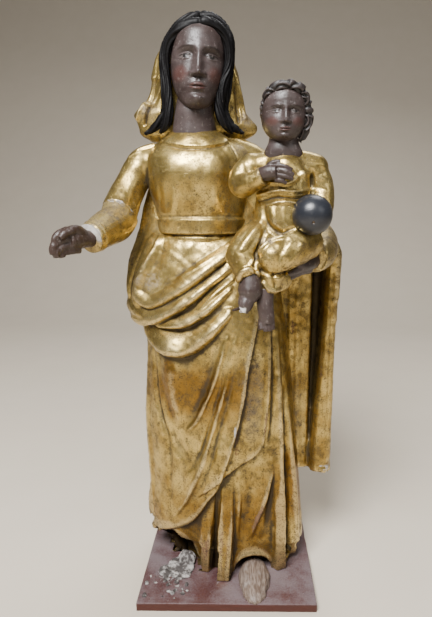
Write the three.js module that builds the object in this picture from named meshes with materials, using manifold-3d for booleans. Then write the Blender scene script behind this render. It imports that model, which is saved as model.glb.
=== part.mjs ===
// A carved and gilded wooden figure of a standing mother who holds a seated child on her left arm.
// Separate pieces: the board she stands on, the carved figure, her right forearm and right hand (both
// glued on at visible seams), the child, and the turned ball in the child's lap.
// Units are millimetres, +Z is up, the figure faces -Y, and the origin is the middle of the board's underside.
import * as THREE from "three";
import { mergeVertices } from "three/addons/utils/BufferGeometryUtils.js";
import Module from "manifold-3d";

const wasm = await Module();
wasm.setup();

// Driving dimensions
const BOARD = { width: 128, depth: 118, height: 6.5 };
const JOINT_GAP = 0.35; // glue line left between two pieces
const FLOOR = BOARD.height; // the figure stands on the board's top face
const HEAD_X = -23; // the head stands over the weight-bearing leg, left of the board's middle
const EYE_Z = 380; // mother's eye line
const FACE_Y = -25; // foremost plane of the mother's brow
const CHILD_X = 35; // child's middle line
const CHILD_EYE_Z = 338;
const BALL = { radius: 12.5, place: [51.5, -58, 277] };

// Shape helpers

function solidOf(geometry) {
  const bare = geometry.clone();
  bare.deleteAttribute("normal");
  bare.deleteAttribute("uv");
  const merged = mergeVertices(bare, 1e-4);
  return new wasm.Manifold(
    new wasm.Mesh({
      numProp: 3,
      vertProperties: merged.getAttribute("position").array,
      triVerts: new Uint32Array(merged.index.array),
    }),
  );
}

function geometryOf(solid) {
  const mesh = solid.getMesh();
  return new THREE.BufferGeometry()
    .setAttribute("position", new THREE.BufferAttribute(mesh.vertProperties, 3))
    .setIndex(new THREE.BufferAttribute(mesh.triVerts, 1));
}

const join = (solids) => solids.reduce((whole, solid) => whole.add(solid));

// A closed skin over rings of equal count, each ring counter-clockwise seen from the last ring's end.
function loft(rings) {
  const count = rings[0].length;
  const points = rings.flat();
  const index = [];
  for (let ring = 0; ring + 1 < rings.length; ring++) {
    for (let i = 0; i < count; i++) {
      const a = ring * count + i;
      const b = ring * count + ((i + 1) % count);
      index.push(a, b, b + count, a, b + count, a + count);
    }
  }
  const caps = [
    { start: 0, ring: rings[0], turned: true },
    { start: points.length - count, ring: rings.at(-1), turned: false },
  ];
  for (const { start, ring, turned } of caps) {
    const middle = ring.reduce((sum, p) => sum.add(p), new THREE.Vector3()).divideScalar(count);
    const centre = points.push(middle) - 1;
    for (let i = 0; i < count; i++) {
      const a = start + i;
      const b = start + ((i + 1) % count);
      index.push(centre, turned ? b : a, turned ? a : b);
    }
  }
  const geometry = new THREE.BufferGeometry().setFromPoints(points);
  geometry.setIndex(index);
  return solidOf(geometry);
}

function ball([x, y, z], [rx, ry, rz], { turn = [0, 0, 0], around = 14, rows = 9 } = {}) {
  const geometry = new THREE.SphereGeometry(1, around, rows)
    .scale(rx, ry, rz)
    .applyMatrix4(new THREE.Matrix4().makeRotationFromEuler(new THREE.Euler(...turn)))
    .translate(x, y, z);
  return solidOf(geometry);
}

// A round-ended rod along a smooth curve, with a radius at each point. flat squeezes it to one side.
function limb(points, radii, { sides = 8, steps = points.length * 2, flat = 1 } = {}) {
  const curve = new THREE.CatmullRomCurve3(points.map((p) => new THREE.Vector3(...p)));
  const frames = curve.computeFrenetFrames(steps);
  const radiusAt = (t) => {
    const place = t * (radii.length - 1);
    const low = Math.min(Math.floor(place), radii.length - 2);
    return THREE.MathUtils.lerp(radii[low], radii[low + 1], place - low);
  };
  const ring = (t, step, radius, along) => {
    const centre = curve.getPoint(t).addScaledVector(frames.tangents[step], along);
    return Array.from({ length: sides }, (_, i) => {
      const angle = (2 * Math.PI * i) / sides;
      return centre
        .clone()
        .addScaledVector(frames.normals[step], radius * Math.cos(angle))
        .addScaledVector(frames.binormals[step], radius * flat * Math.sin(angle));
    });
  };
  const rings = [ring(0, 0, radii[0] * 0.55, -radii[0] * 0.6)];
  for (let step = 0; step <= steps; step++) {
    const t = step / steps;
    rings.push(ring(t, step, radiusAt(t), 0));
  }
  rings.push(ring(1, steps, radii.at(-1) * 0.55, radii.at(-1) * 0.6));
  return loft(rings);
}

// Rounds between the values listed at rising stations, as a batten bent through them would.
function batten(stations, values, at) {
  const last = stations.length - 1;
  if (at <= stations[0]) return values[0];
  if (at >= stations[last]) return values[last];
  const i = stations.findIndex((s) => s > at) - 1;
  const slope = (k) => {
    const low = Math.max(k - 1, 0);
    const high = Math.min(k + 1, last);
    return (values[high] - values[low]) / (stations[high] - stations[low]);
  };
  const span = stations[i + 1] - stations[i];
  const t = (at - stations[i]) / span;
  const rise = t * t * (3 - 2 * t);
  const leave = t * (1 - t) ** 2;
  const arrive = t * t * (t - 1);
  const straight = THREE.MathUtils.lerp(values[i], values[i + 1], rise);
  return straight + span * (leave * slope(i) + arrive * slope(i + 1));
}

// An upright column with oval sections. Each level is [z, middle x, middle y, half width, half depth].
// relief(x, z, front) is how far the skin stands out at a place: front is 1 at the front and -1 behind.
function column(levels, { around = 32, rows = 10, square = 1, relief = () => 0 } = {}) {
  const stations = levels.map((level) => level[0]);
  const along = (k, z) => batten(stations, levels.map((level) => level[k]), z);
  const rings = [];
  for (let row = 0; row <= rows; row++) {
    const z = THREE.MathUtils.lerp(stations[0], stations.at(-1), row / rows);
    const [cx, cy, halfWidth, halfDepth] = [1, 2, 3, 4].map((k) => along(k, z));
    rings.push(
      Array.from({ length: around }, (_, i) => {
        const angle = (2 * Math.PI * i) / around;
        const bulge = (value) => Math.sign(value) * Math.abs(value) ** square;
        const side = bulge(Math.cos(angle));
        const back = bulge(Math.sin(angle));
        const out = new THREE.Vector2(side / halfWidth, back / halfDepth).normalize();
        const x = cx + halfWidth * side;
        const y = cy + halfDepth * back;
        const raised = relief(x, z, -back);
        return new THREE.Vector3(x + out.x * raised, y + out.y * raised, z);
      }),
    );
  }
  return loft(rings);
}

// Where a column's front face lies at x and z, set back by sunk.
function frontOf(levels, x, z, sunk = 0) {
  const stations = levels.map((level) => level[0]);
  const [cx, cy, halfWidth, halfDepth] = [1, 2, 3, 4].map((k) =>
    batten(stations, levels.map((level) => level[k]), z));
  const across = THREE.MathUtils.clamp((x - cx) / halfWidth, -0.97, 0.97);
  return cy - halfDepth * Math.sqrt(1 - across ** 2) + sunk;
}

// A rolled fold lying on a column's front, along a path of [x, z] points.
function fold(levels, path, radii, sunk = 1) {
  const points = path.map(([x, z]) => [x, frontOf(levels, x, z, sunk), z]);
  return limb(points, radii, { sides: 5, steps: path.length - 1 });
}

// A block through the whole depth of the figure with the front outline given as [x, z] points.
function through(outline, back = 30, front = -90) {
  const shape = new THREE.Shape(outline.map(([x, z]) => new THREE.Vector2(x, z)));
  const geometry = new THREE.ExtrudeGeometry(shape, { depth: back - front, bevelEnabled: false, steps: 1 });
  return solidOf(geometry.rotateX(Math.PI / 2).translate(0, back, 0));
}

// Tunic skirt with the cloak wrapped over it

const TUNIC = [
  [FLOOR, 6, 10, 50, 36],
  [20, 4, 10, 56, 37],
  [55, -1, 8, 57, 36.5],
  [115, -5, 6, 56, 35],
  [139, -6.5, 5.5, 55.5, 34],
  [192, -9, 4, 50, 31],
  [225, -13, 4, 46, 29],
  [262, -20, 2, 29.5, 22.5],
];
const WRAP = [
  [17, -4, 10, 58, 37],
  [48, -4, 8, 59, 38],
  [116, -7, 5, 58, 38],
  [160, -9, 4, 56, 37],
  [192, -10, 4, 54, 35],
  [212, -11, 4, 52, 33],
];
const UNDER_WRAP = 3; // the inner cloak panel lies this far behind the outer one
const INNER_WRAP = WRAP.map(([z, cx, cy, halfWidth, halfDepth]) =>
  [z, cx, cy, halfWidth - UNDER_WRAP, halfDepth - UNDER_WRAP]);
// Front edge of the outer cloak panel, from under the child down to the left hem.
const WRAP_EDGE = [[18, 198], [13, 172], [9, 140], [1, 106], [-7, 79], [-24, 45], [-43, 27], [-60, 19]];
// Edge of the inner panel, from under the child to where it slips behind the outer one.
const INNER_EDGE = [[29, 197], [29, 160], [28, 138], [25, 112], [19, 103], [-4, 86]];

const tunic = column(TUNIC, { around: 24, rows: 7 });
const wrap = column(WRAP, { around: 26, rows: 6 }).intersect(
  through([[18, 215], ...WRAP_EDGE, [-90, 17], [-90, 215]], 60));
const innerWrap = column(INNER_WRAP, { around: 20, rows: 6 }).intersect(
  through([[-40, 215], [-40, 86], ...INNER_EDGE.toReversed(), [29, 215]]));

const skirtFolds = [
  fold(WRAP, [[3, 208], [-8, 170], [-14, 130], [-20, 90], [-36, 52]], [3, 5, 6, 5, 3], 2),
  fold(WRAP, [[17, 200], [12, 170], [8, 140], [0, 106], [-8, 79]], [1.8, 2.4, 2.6, 2.4, 1.8]),
  fold(WRAP, [[-12, 155], [-20, 134], [-31, 117], [-43, 111]], [2, 4, 4.5, 3], 2),
  fold(WRAP, [[-56, 175], [-55, 110], [-47, 38]], [2, 4, 3], 2),
  fold(INNER_WRAP, INNER_EDGE, [1.4, 1.8, 1.8, 2, 2, 1.4], 0.5),
  fold(TUNIC, [[36, 195], [40, 152], [44, 108], [50, 60], [53, 14]], [2.5, 3.5, 4.5, 5, 4]),
  fold(TUNIC, [[35, 105], [27, 62], [18, 30]], [2, 3.4, 2.6]),
  fold(TUNIC, [[7, 92], [6, 50], [6, 22]], [2, 3, 3]),
];
// Standing pipe folds of the tunic hem: [bottom x, bottom y, top x, top z, radius].
const HEM_PIPES = [
  [-16.5, -26, -13, 66, 6.5],
  [-3.5, -31, 0, 92, 6.5],
  [41, -12, 40, 104, 6],
];
const hemPipes = HEM_PIPES.map(([x, y, topX, topZ, radius]) =>
  column(
    [
      [FLOOR, x, y, radius, radius],
      [topZ * 0.6, (x + topX) / 2, y + 2, radius * 0.9, radius],
      [topZ, topX, y + 6, radius * 0.4, radius * 0.6],
    ],
    { around: 8, rows: 2 },
  ),
);

// The cloak drawn across the hips in rolled swags: points from the left hip to under the child.
const SWAGS = [
  { points: [[-64, -2, 234], [-54, -20, 230], [-38, -29, 235],
    [-22, -30, 244], [-4, -24, 255], [8, -14, 262]],
    radii: [8, 7.5, 7, 7, 6, 4] },
  { points: [[-70, 6, 216], [-68, -8, 208], [-55, -24, 207],
    [-38, -32, 214], [-20, -33, 228], [-2, -27, 242]],
    radii: [10, 9.5, 9, 8, 7, 5] },
  { points: [[-56, -18, 204], [-41, -31, 203], [-26, -35, 209], [-12, -33, 219], [0, -28, 232]],
    radii: [5, 7, 7.5, 7, 5] },
  { points: [[-58, -12, 196], [-46, -26, 189], [-35, -31, 185],
    [-20, -33, 190], [-8, -32, 202], [2, -28, 216]],
    radii: [7, 9, 9.5, 9, 7, 5] },
];
// Cloth behind the swags, so that they lie half sunk in it.
const hips = column(
  [
    [176, -10, 4, 53, 34],
    [204, -13, 2, 55, 33],
    [228, -15, 2, 50, 30],
    [252, -18, 3, 36, 25],
  ],
  { around: 18, rows: 3 },
);
const swags = SWAGS.map(({ points, radii }) => limb(points, radii, { sides: 6, steps: 6 }));

// Cloak behind the back, from the shoulders to the hem, and its edge coming forward under the right arm
const BACK_FOLDS = { count: 5, depth: 2.5 }; // shallow hanging folds
const backRelief = (x, z, front) =>
  BACK_FOLDS.depth * Math.max(-front, 0) * Math.cos((x / 60) * BACK_FOLDS.count * Math.PI) *
  THREE.MathUtils.smoothstep(250 - z, 0, 120);
const cloakBack = column(
  [
    [16, 1, 22, 52, 29],
    [60, -1, 20, 51, 29],
    [120, -5, 18, 51, 28],
    [180, -9, 17, 54, 28],
    [214, -12, 16, 66, 29],
    [240, -14, 17, 62, 27],
    [272, -18, 18, 53, 23],
    [302, -22, 17, 48, 20],
    [322, -24, 13, 46, 15],
    [331, -25, 10, 38, 11],
    [338, -25, 10, 24, 8],
  ],
  { around: 20, rows: 7, relief: backRelief },
);
const cloakEdge = limb(
  [[-52, 4, 272], [-60, -4, 252], [-68, -6, 234], [-72, -2, 218]],
  [4, 6, 8, 8],
  { sides: 6, steps: 3 },
);

// Cloak hanging from the left arm: a flat panel, a deep pleat and a rolled outer edge, cut in plan
const PANEL = { top: 250, hem: 77, back: 27, inner: 20, outer: 81 };
const pleat = new THREE.Shape();
pleat.moveTo(PANEL.inner, 8);
pleat.lineTo(62, 10);
pleat.lineTo(67, 16);
pleat.quadraticCurveTo(68, 1, 74.5, 0);
pleat.quadraticCurveTo(PANEL.outer, 0, PANEL.outer, 9);
pleat.quadraticCurveTo(PANEL.outer, 20, 70, PANEL.back - 4);
pleat.lineTo(PANEL.inner, PANEL.back);
pleat.closePath();
const armPanel = solidOf(
  new THREE.ExtrudeGeometry(pleat, {
    depth: PANEL.top - PANEL.hem,
    bevelEnabled: false,
    curveSegments: 4,
    steps: 1,
  }).translate(0, 0, PANEL.hem),
);
const armCloak = column(
  [
    [243, 48, 13, 31, 14],
    [256, 46, 11, 31, 16],
    [274, 38, 12, 31, 15],
    [298, 25, 12, 33, 15],
    [316, 12, 10, 28, 13],
    [329, -2, 8, 22, 8],
  ],
  { around: 12, rows: 4 },
);
const armRoll = limb(
  [[77, 6, 226], [75, 0, 248], [66, -6, 260], [54, -10, 262]],
  [5, 7, 7, 5],
  { sides: 6, steps: 3 },
);

// Torso, belt and collar
const TORSO = [
  [256, -20, 3, 28.5, 22],
  [276, -20.5, 2, 29.5, 22.5],
  [290, -22, 1, 32, 25.5],
  [304, -23, 0, 34, 27.5],
  [316, -24, 1, 37, 24],
  [326, -25, 3, 34, 17],
  [334, -26, 3, 20, 13],
];
const BELT = { low: 263.5, high: 275, proud: 1.6 };
const torso = column(TORSO, { around: 20, rows: 6 });
const belt = column(
  [
    [BELT.low, -20.2, 2.5, 29 + BELT.proud, 22.2 + BELT.proud],
    [BELT.high, -20.5, 2, 29.6 + BELT.proud, 22.6 + BELT.proud],
  ],
  { around: 20, rows: 1 },
);
const collar = limb(
  [[-52, -4, 332], [-44, -15, 326], [-34, -20, 322.5], [-23, -22, 321.5],
    [-12, -20, 322.5], [-2, -15, 326], [4, -4, 331]],
  [3, 3.6, 4, 4, 4, 3.6, 3],
  { sides: 5, steps: 6 },
);

// Arms carved in one with the body: the right upper arm down to its seam, the left sleeve and hand
const SEAM = { place: [-78, -11, 277.5], run: [-0.3, -0.62, -0.72] }; // glued joint below the right elbow
const upperArm = limb(
  [[-54, 6, 321], [-64, 6, 314], [-72, 2, 298], [-77, -6, 284], [-80, -16, 272]],
  [14, 15, 14, 13.5, 13.5],
  { sides: 10, steps: 6 },
);
const leftCuff = limb(
  [[67, 14, 262], [68, -4, 257], [62, -22, 253]],
  [11, 11.5, 11.5],
  { sides: 9, steps: 2 },
);
const LEFT_FINGERS = [
  [[62, -26, 252], [54, -38, 249], [44, -49, 247]],
  [[58, -28, 246], [48, -42, 242], [38, -50, 240]],
  [[54, -28, 240], [44, -40, 237], [33, -47, 235]],
];
const leftFingers = LEFT_FINGERS.map((points) => limb(points, [6, 5.5, 3.6], { sides: 6, steps: 2 }));

// Head, hair and veil
const head = join([
  ball([HEAD_X, FACE_Y + 18, EYE_Z - 4], [17.5, 18, 27], { around: 12, rows: 8 }),
  ball([HEAD_X, FACE_Y + 6, EYE_Z - 26], [7, 5.5, 5.5], { around: 7, rows: 4 }),
  limb(
    [[HEAD_X, FACE_Y + 1.5, EYE_Z + 3], [HEAD_X, FACE_Y - 1.5, EYE_Z - 6], [HEAD_X, FACE_Y - 3, EYE_Z - 12]],
    [1.8, 2.6, 3.4],
    { sides: 5, steps: 2 },
  ),
  ball([HEAD_X, FACE_Y + 1.5, EYE_Z - 18.5], [5, 3, 2.6], { around: 6, rows: 4 }),
  limb(
    [[HEAD_X - 3, 0, 326], [HEAD_X - 3, -2, 340], [HEAD_X - 2, -4, 354]],
    [15.5, 14, 14],
    { sides: 9, steps: 1 },
  ),
]);

// Each lock runs from the parting down one side of the face and out over the shoulder; side is -1 or 1.
function lock(side, out, forward) {
  const x = (across) => HEAD_X - 2 + side * (across + out);
  return limb(
    [
      [HEAD_X + side * 2, -16 - forward, 405],
      [x(15), -15 - forward, 398],
      [x(21), -10 - forward, 378],
      [x(21), -9 - forward, 356],
      [x(25), -9, 341],
      [x(36), -6, 335.5],
    ],
    [3.5, 4.5, 5, 5, 5, 3.5],
    { sides: 5, steps: 4 },
  );
}
const hair = join([
  ...[-1, 1].flatMap((side) => [lock(side, 0, 2), lock(side, 3.5, -7)]),
  ball([HEAD_X - 1, 3, EYE_Z + 8], [25, 23, 26], { around: 10, rows: 6 }),
]);

const VEIL_LEVELS = [
  [331, -26, 14, 34, 13],
  [337, -26, 14, 43, 15],
  [348, -26, 14, 44, 16],
  [362, -25.5, 13, 36, 18],
  [382, -26, 12, 29, 20],
  [398, -25, 10, 24, 18],
  [408, -24, 7, 17, 14],
  [414, -24, 5, 7, 7],
];
const VEIL_WAVE = 2; // depth of the veil's hanging waves
const veilRelief = (x, z) =>
  VEIL_WAVE * THREE.MathUtils.smoothstep(390 - z, 0, 40) * Math.cos((x - HEAD_X) / 4.2);
const veil = column(VEIL_LEVELS, { around: 20, rows: 7, relief: veilRelief });
const veilEnds = [
  limb([[-54, 8, 366], [-64, 9, 352], [-69, 8, 344], [-63, 6, 337]], [5, 6, 5, 4], { sides: 6, steps: 3 }),
  limb([[4, 8, 366], [12, 9, 352], [15, 6, 340], [8, 4, 335]], [5, 5.5, 6, 4], { sides: 6, steps: 3 }),
];

// Bare left foot under the hem, and the stump of the lost right foot
const foot = limb(
  [[20, -14, 14], [20.5, -34, 12.5], [19.5, -50, 8.5]],
  [11, 12, 10],
  { sides: 9, steps: 3, flat: 0.7 },
);
const stump = join([
  ball([-37, -12, FLOOR + 1], [11, 12, 7], { around: 8, rows: 4 }),
  ball([-42, -26, FLOOR], [8, 9, 3], { around: 8, rows: 4 }),
]);

const standing = new THREE.BoxGeometry(400, 400, 600).translate(0, 0, 300 + FLOOR);
const carved = join([
  tunic,
  wrap,
  innerWrap,
  ...skirtFolds,
  ...hemPipes,
  hips,
  ...swags,
  cloakBack,
  cloakEdge,
  armPanel,
  armCloak,
  armRoll,
  torso,
  belt,
  collar,
  leftCuff,
  ...leftFingers,
  head,
  hair,
  ball([HEAD_X, 8, EYE_Z - 20], [24, 15, 40], { around: 8, rows: 6 }), // wood inside the veil
  veil,
  ...veilEnds,
  foot,
  stump,
]).intersect(solidOf(standing));

// Half space on the far side of a joint plane, as a large block: keep is -1 for the side behind the plane.
function beyond({ place, run }, keep, gap = 0) {
  const SIZE = 120;
  const direction = new THREE.Vector3(...run).normalize();
  const block = new THREE.BoxGeometry(SIZE, SIZE, SIZE).translate(0, 0, keep * (SIZE / 2 + gap));
  const turn = new THREE.Quaternion().setFromUnitVectors(new THREE.Vector3(0, 0, 1), direction);
  return solidOf(block.applyQuaternion(turn).translate(...place));
}
const figureSolid = carved.add(upperArm.intersect(beyond(SEAM, -1)));

// Right forearm and hand
const WRIST = { place: [-91, -44, 261], run: [-0.42, -0.86, -0.3] };
const forearmRod = limb(
  [[-78, -8, 281], [-79, -16, 272], [-84, -28, 267.5], [-90, -42, 262], [-92, -46, 260.5]],
  [13.6, 13.6, 12.4, 10, 9.8],
  { sides: 10, steps: 6 },
);
const forearmSolid = forearmRod
  .intersect(beyond(SEAM, 1, JOINT_GAP))
  .intersect(beyond(WRIST, -1))
  .subtract(figureSolid);
const HAND_FINGERS = 4;
const palm = limb(
  [[-90, -42, 262], [-97, -53, 260], [-102, -60, 259]],
  [6.6, 8, 8],
  { sides: 8, steps: 2, flat: 0.75 },
);
const fingers = Array.from({ length: HAND_FINGERS }, (_, i) => {
  const drop = i * 3.6;
  return limb(
    [[-100, -58, 265 - drop], [-107, -66, 263 - drop], [-110, -67, 258.5 - drop]],
    [3.1, 2.9, 2.4],
    { sides: 4, steps: 2 },
  );
});
const thumb = limb(
  [[-95, -54, 265], [-101, -62, 269], [-106, -68, 268]],
  [3.6, 3.2, 2.4],
  { sides: 5, steps: 2 },
);
const handSolid = join([palm, ...fingers, thumb]).intersect(beyond(WRIST, 1, JOINT_GAP));

// Child
const childTorso = column(
  [
    [250, 31, -40, 20, 12],
    [258, 33, -41, 26, 17],
    [270, 34, -41, 23, 18],
    [284, 35, -41, 20.5, 16],
    [300, 35, -40, 22.5, 15],
    [311, 35, -39, 22, 12],
    [318, 35, -39, 10, 8],
  ],
  { around: 12, rows: 6 },
);
const childLimbs = [
  limb(
    [[18, -39, 308], [8, -42, 301], [4, -47, 293.5], [13, -54, 295], [24, -58, 299]],
    [8.5, 9, 9, 8, 6.5],
    { sides: 6, steps: 4 },
  ),
  limb(
    [[52, -38, 307], [58, -38, 297], [60, -42, 284], [58, -48, 272]],
    [8.5, 8.5, 8, 7],
    { sides: 6, steps: 3 },
  ),
  limb([[24, -41, 263], [11, -50, 258], [5, -56, 252]], [14, 13, 11], { sides: 7, steps: 2 }),
  limb([[6, -56, 252], [10, -60, 246], [13, -62, 240]], [11, 9.5, 7.5], { sides: 6, steps: 2 }),
  limb([[50, -42, 263], [38, -53, 258], [25, -60, 252]], [14, 13.5, 11], { sides: 7, steps: 2 }),
  limb([[26, -59, 250], [24, -60, 240], [23, -59, 229]], [11, 9.5, 8], { sides: 6, steps: 2 }),
  limb([[13, -61, 240], [13, -65, 231], [9.5, -69, 225]], [6, 6.2, 5], { sides: 6, steps: 2 }),
  limb([[23, -58, 230], [24, -61, 219], [26, -65, 212]], [6, 6, 5], { sides: 6, steps: 2 }),
];
const childHand = join([
  limb([[22, -58, 299], [29, -60, 301], [33, -60, 302]], [5, 6, 5.4], { sides: 7, steps: 2, flat: 0.8 }),
  ...Array.from({ length: 3 }, (_, i) =>
    limb([[33, -60, 305 - i * 3.2], [40, -59, 304.5 - i * 3.2]], [2.1, 1.6], { sides: 4, steps: 1 })),
]);
const childHead = join([
  ball([CHILD_X, -43, CHILD_EYE_Z + 3], [15.5, 16.5, 17.5], { around: 10, rows: 6 }),
  ball([CHILD_X, -48, CHILD_EYE_Z - 6], [13.8, 12.5, 13.5], { around: 12, rows: 7 }),
  limb(
    [[CHILD_X, -60, CHILD_EYE_Z + 1], [CHILD_X, -62.5, CHILD_EYE_Z - 6]],
    [1.6, 2.6],
    { sides: 5, steps: 1 },
  ),
  limb([[CHILD_X, -41, 311], [CHILD_X, -42, 324]], [8.5, 8], { sides: 7, steps: 1 }),
]);
const CURLS = 6;
const childHair = join([
  ball([CHILD_X + 1, -39.5, CHILD_EYE_Z + 4], [16.5, 17, 17], { around: 10, rows: 6 }),
  ...Array.from({ length: CURLS }, (_, i) => {
    const angle = Math.PI * (-0.12 + (1.24 * i) / (CURLS - 1));
    const [across, up] = [Math.cos(angle), Math.sin(angle)];
    return ball(
      [CHILD_X + 14 * across, -50 + 5 * Math.abs(across), CHILD_EYE_Z + 3 + 14 * up],
      [4.4, 4.4, 4.4],
      { around: 5, rows: 3 },
    );
  }),
]);

// What a neighbour has to stay out of: the solid moved a glue line's width each way.
function grown(solid) {
  const shifts = [[1, 0, 0], [-1, 0, 0], [0, 1, 0], [0, -1, 0], [0, 0, 1], [0, 0, -1]];
  return join([solid, ...shifts.map((shift) => solid.translate(shift.map((s) => s * JOINT_GAP)))]);
}
const ballSocket = ball(BALL.place, Array(3).fill(BALL.radius + JOINT_GAP), { around: 14, rows: 9 });
const childWhole = join([childTorso, ...childLimbs, childHand, childHead, childHair])
  .subtract(ballSocket)
  .subtract(grown(figureSolid));
const childSolid = childWhole.decompose().reduce((most, one) => (one.volume() > most.volume() ? one : most));

// Ball and board
const ballSolid = ball(BALL.place, Array(3).fill(BALL.radius), { around: 14, rows: 9 });
const boardSolid = solidOf(
  new THREE.BoxGeometry(BOARD.width, BOARD.depth, BOARD.height).translate(0, 0, BOARD.height / 2),
);

// Scene graph
const gilding = new THREE.MeshStandardMaterial({ color: 0xb08a3c, roughness: 0.42, metalness: 0.75 });
const flesh = new THREE.MeshStandardMaterial({ color: 0x6f5a55, roughness: 0.5, metalness: 0 });
const darkPaint = new THREE.MeshStandardMaterial({ color: 0x25272b, roughness: 0.35, metalness: 0 });
const redPaint = new THREE.MeshStandardMaterial({ color: 0x6a3733, roughness: 0.6, metalness: 0 });

function piece(name, solid, material) {
  const mesh = new THREE.Mesh(geometryOf(solid), material);
  mesh.name = name;
  return mesh;
}

const statue = new THREE.Group();
statue.add(
  piece("base_board", boardSolid, redPaint),
  piece("figure", figureSolid, gilding),
  piece("right_forearm", forearmSolid, gilding),
  piece("right_hand", handSolid, flesh),
  piece("child", childSolid, gilding),
  piece("orb", ballSolid, darkPaint),
);

export default statue;
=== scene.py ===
import math

import bpy
import numpy as np
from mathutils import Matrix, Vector
from mathutils.bvhtree import BVHTree


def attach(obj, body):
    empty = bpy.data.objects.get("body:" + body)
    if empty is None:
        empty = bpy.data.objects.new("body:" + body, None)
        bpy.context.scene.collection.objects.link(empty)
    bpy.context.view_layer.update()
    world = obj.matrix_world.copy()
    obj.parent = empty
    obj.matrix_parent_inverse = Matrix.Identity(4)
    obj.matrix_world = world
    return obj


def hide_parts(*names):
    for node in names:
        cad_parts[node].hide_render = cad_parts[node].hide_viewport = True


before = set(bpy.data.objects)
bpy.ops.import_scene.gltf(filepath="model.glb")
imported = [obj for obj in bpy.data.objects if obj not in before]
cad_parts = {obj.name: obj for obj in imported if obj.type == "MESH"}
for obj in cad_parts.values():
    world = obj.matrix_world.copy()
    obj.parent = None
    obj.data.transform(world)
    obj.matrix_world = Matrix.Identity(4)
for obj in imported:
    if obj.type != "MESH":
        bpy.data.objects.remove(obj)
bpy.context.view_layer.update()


# Board: a thin plank sawn to a rectangle and painted a dull red-brown, greyed where it was rubbed.
# The figure is glued on top of it. Its arrises are worn and a little chipped.

BOARD = (128.0, 118.0, 6.5)
ASKEW = 0.048  # slope of the front edge, which is sawn out of square
MM = 0.001


def clear_selection():
    if bpy.context.mode != "OBJECT":
        bpy.ops.object.mode_set(mode="OBJECT")
    bpy.ops.object.select_all(action="DESELECT")


def points_of(piece):
    flat = np.empty(len(piece.data.vertices) * 3)
    piece.data.vertices.foreach_get("co", flat)
    return flat.reshape(-1, 3) / MM


def normals_of(piece):
    flat = np.empty(len(piece.data.vertices) * 3)
    piece.data.vertex_normals.foreach_get("vector", flat)
    return flat.reshape(-1, 3)


def move_to(piece, points):
    piece.data.vertices.foreach_set("co", (points * MM).ravel())
    piece.data.update()


def rise(value, low, high):
    share = np.clip((value - low) / (high - low), 0, 1)
    return share * share * (3 - 2 * share)


def wander(points, size, seed, waves=9):
    """A smooth random field over points in mm, about -1 to 1, with bumps of about that size."""
    draw = np.random.default_rng(seed)
    field = np.zeros(len(points))
    for _ in range(waves):
        direction = draw.normal(size=3)
        direction *= draw.uniform(0.6, 1.6) / np.linalg.norm(direction)
        field += np.sin(points @ direction * (2.2 / size) + draw.uniform(0, 2 * math.pi))
    return field / math.sqrt(waves)


def mark(piece, name, values):
    """Keeps a value for each point, or one for all of them, where a material can read it by name."""
    layer = piece.data.attributes.new(name, "FLOAT", "POINT")
    layer.data.foreach_set("value", np.full(len(layer.data), values, np.float32))


class Value:
    """One output of a shader node. Arithmetic on it adds Math nodes."""

    def __init__(self, finish, socket):
        self.finish = finish
        self.socket = socket

    def math(self, operation, first, second):
        return self.finish.node("ShaderNodeMath", {"operation": operation}, {0: first, 1: second})

    def __add__(self, other):
        return self.math("ADD", self, other)

    __radd__ = __add__

    def __mul__(self, other):
        return self.math("MULTIPLY", self, other)

    __rmul__ = __mul__

    def __sub__(self, other):
        return self.math("SUBTRACT", self, other)

    def __rsub__(self, other):
        return self.math("SUBTRACT", other, self)

    def most(self, other):
        return self.math("MAXIMUM", self, other)


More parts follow.
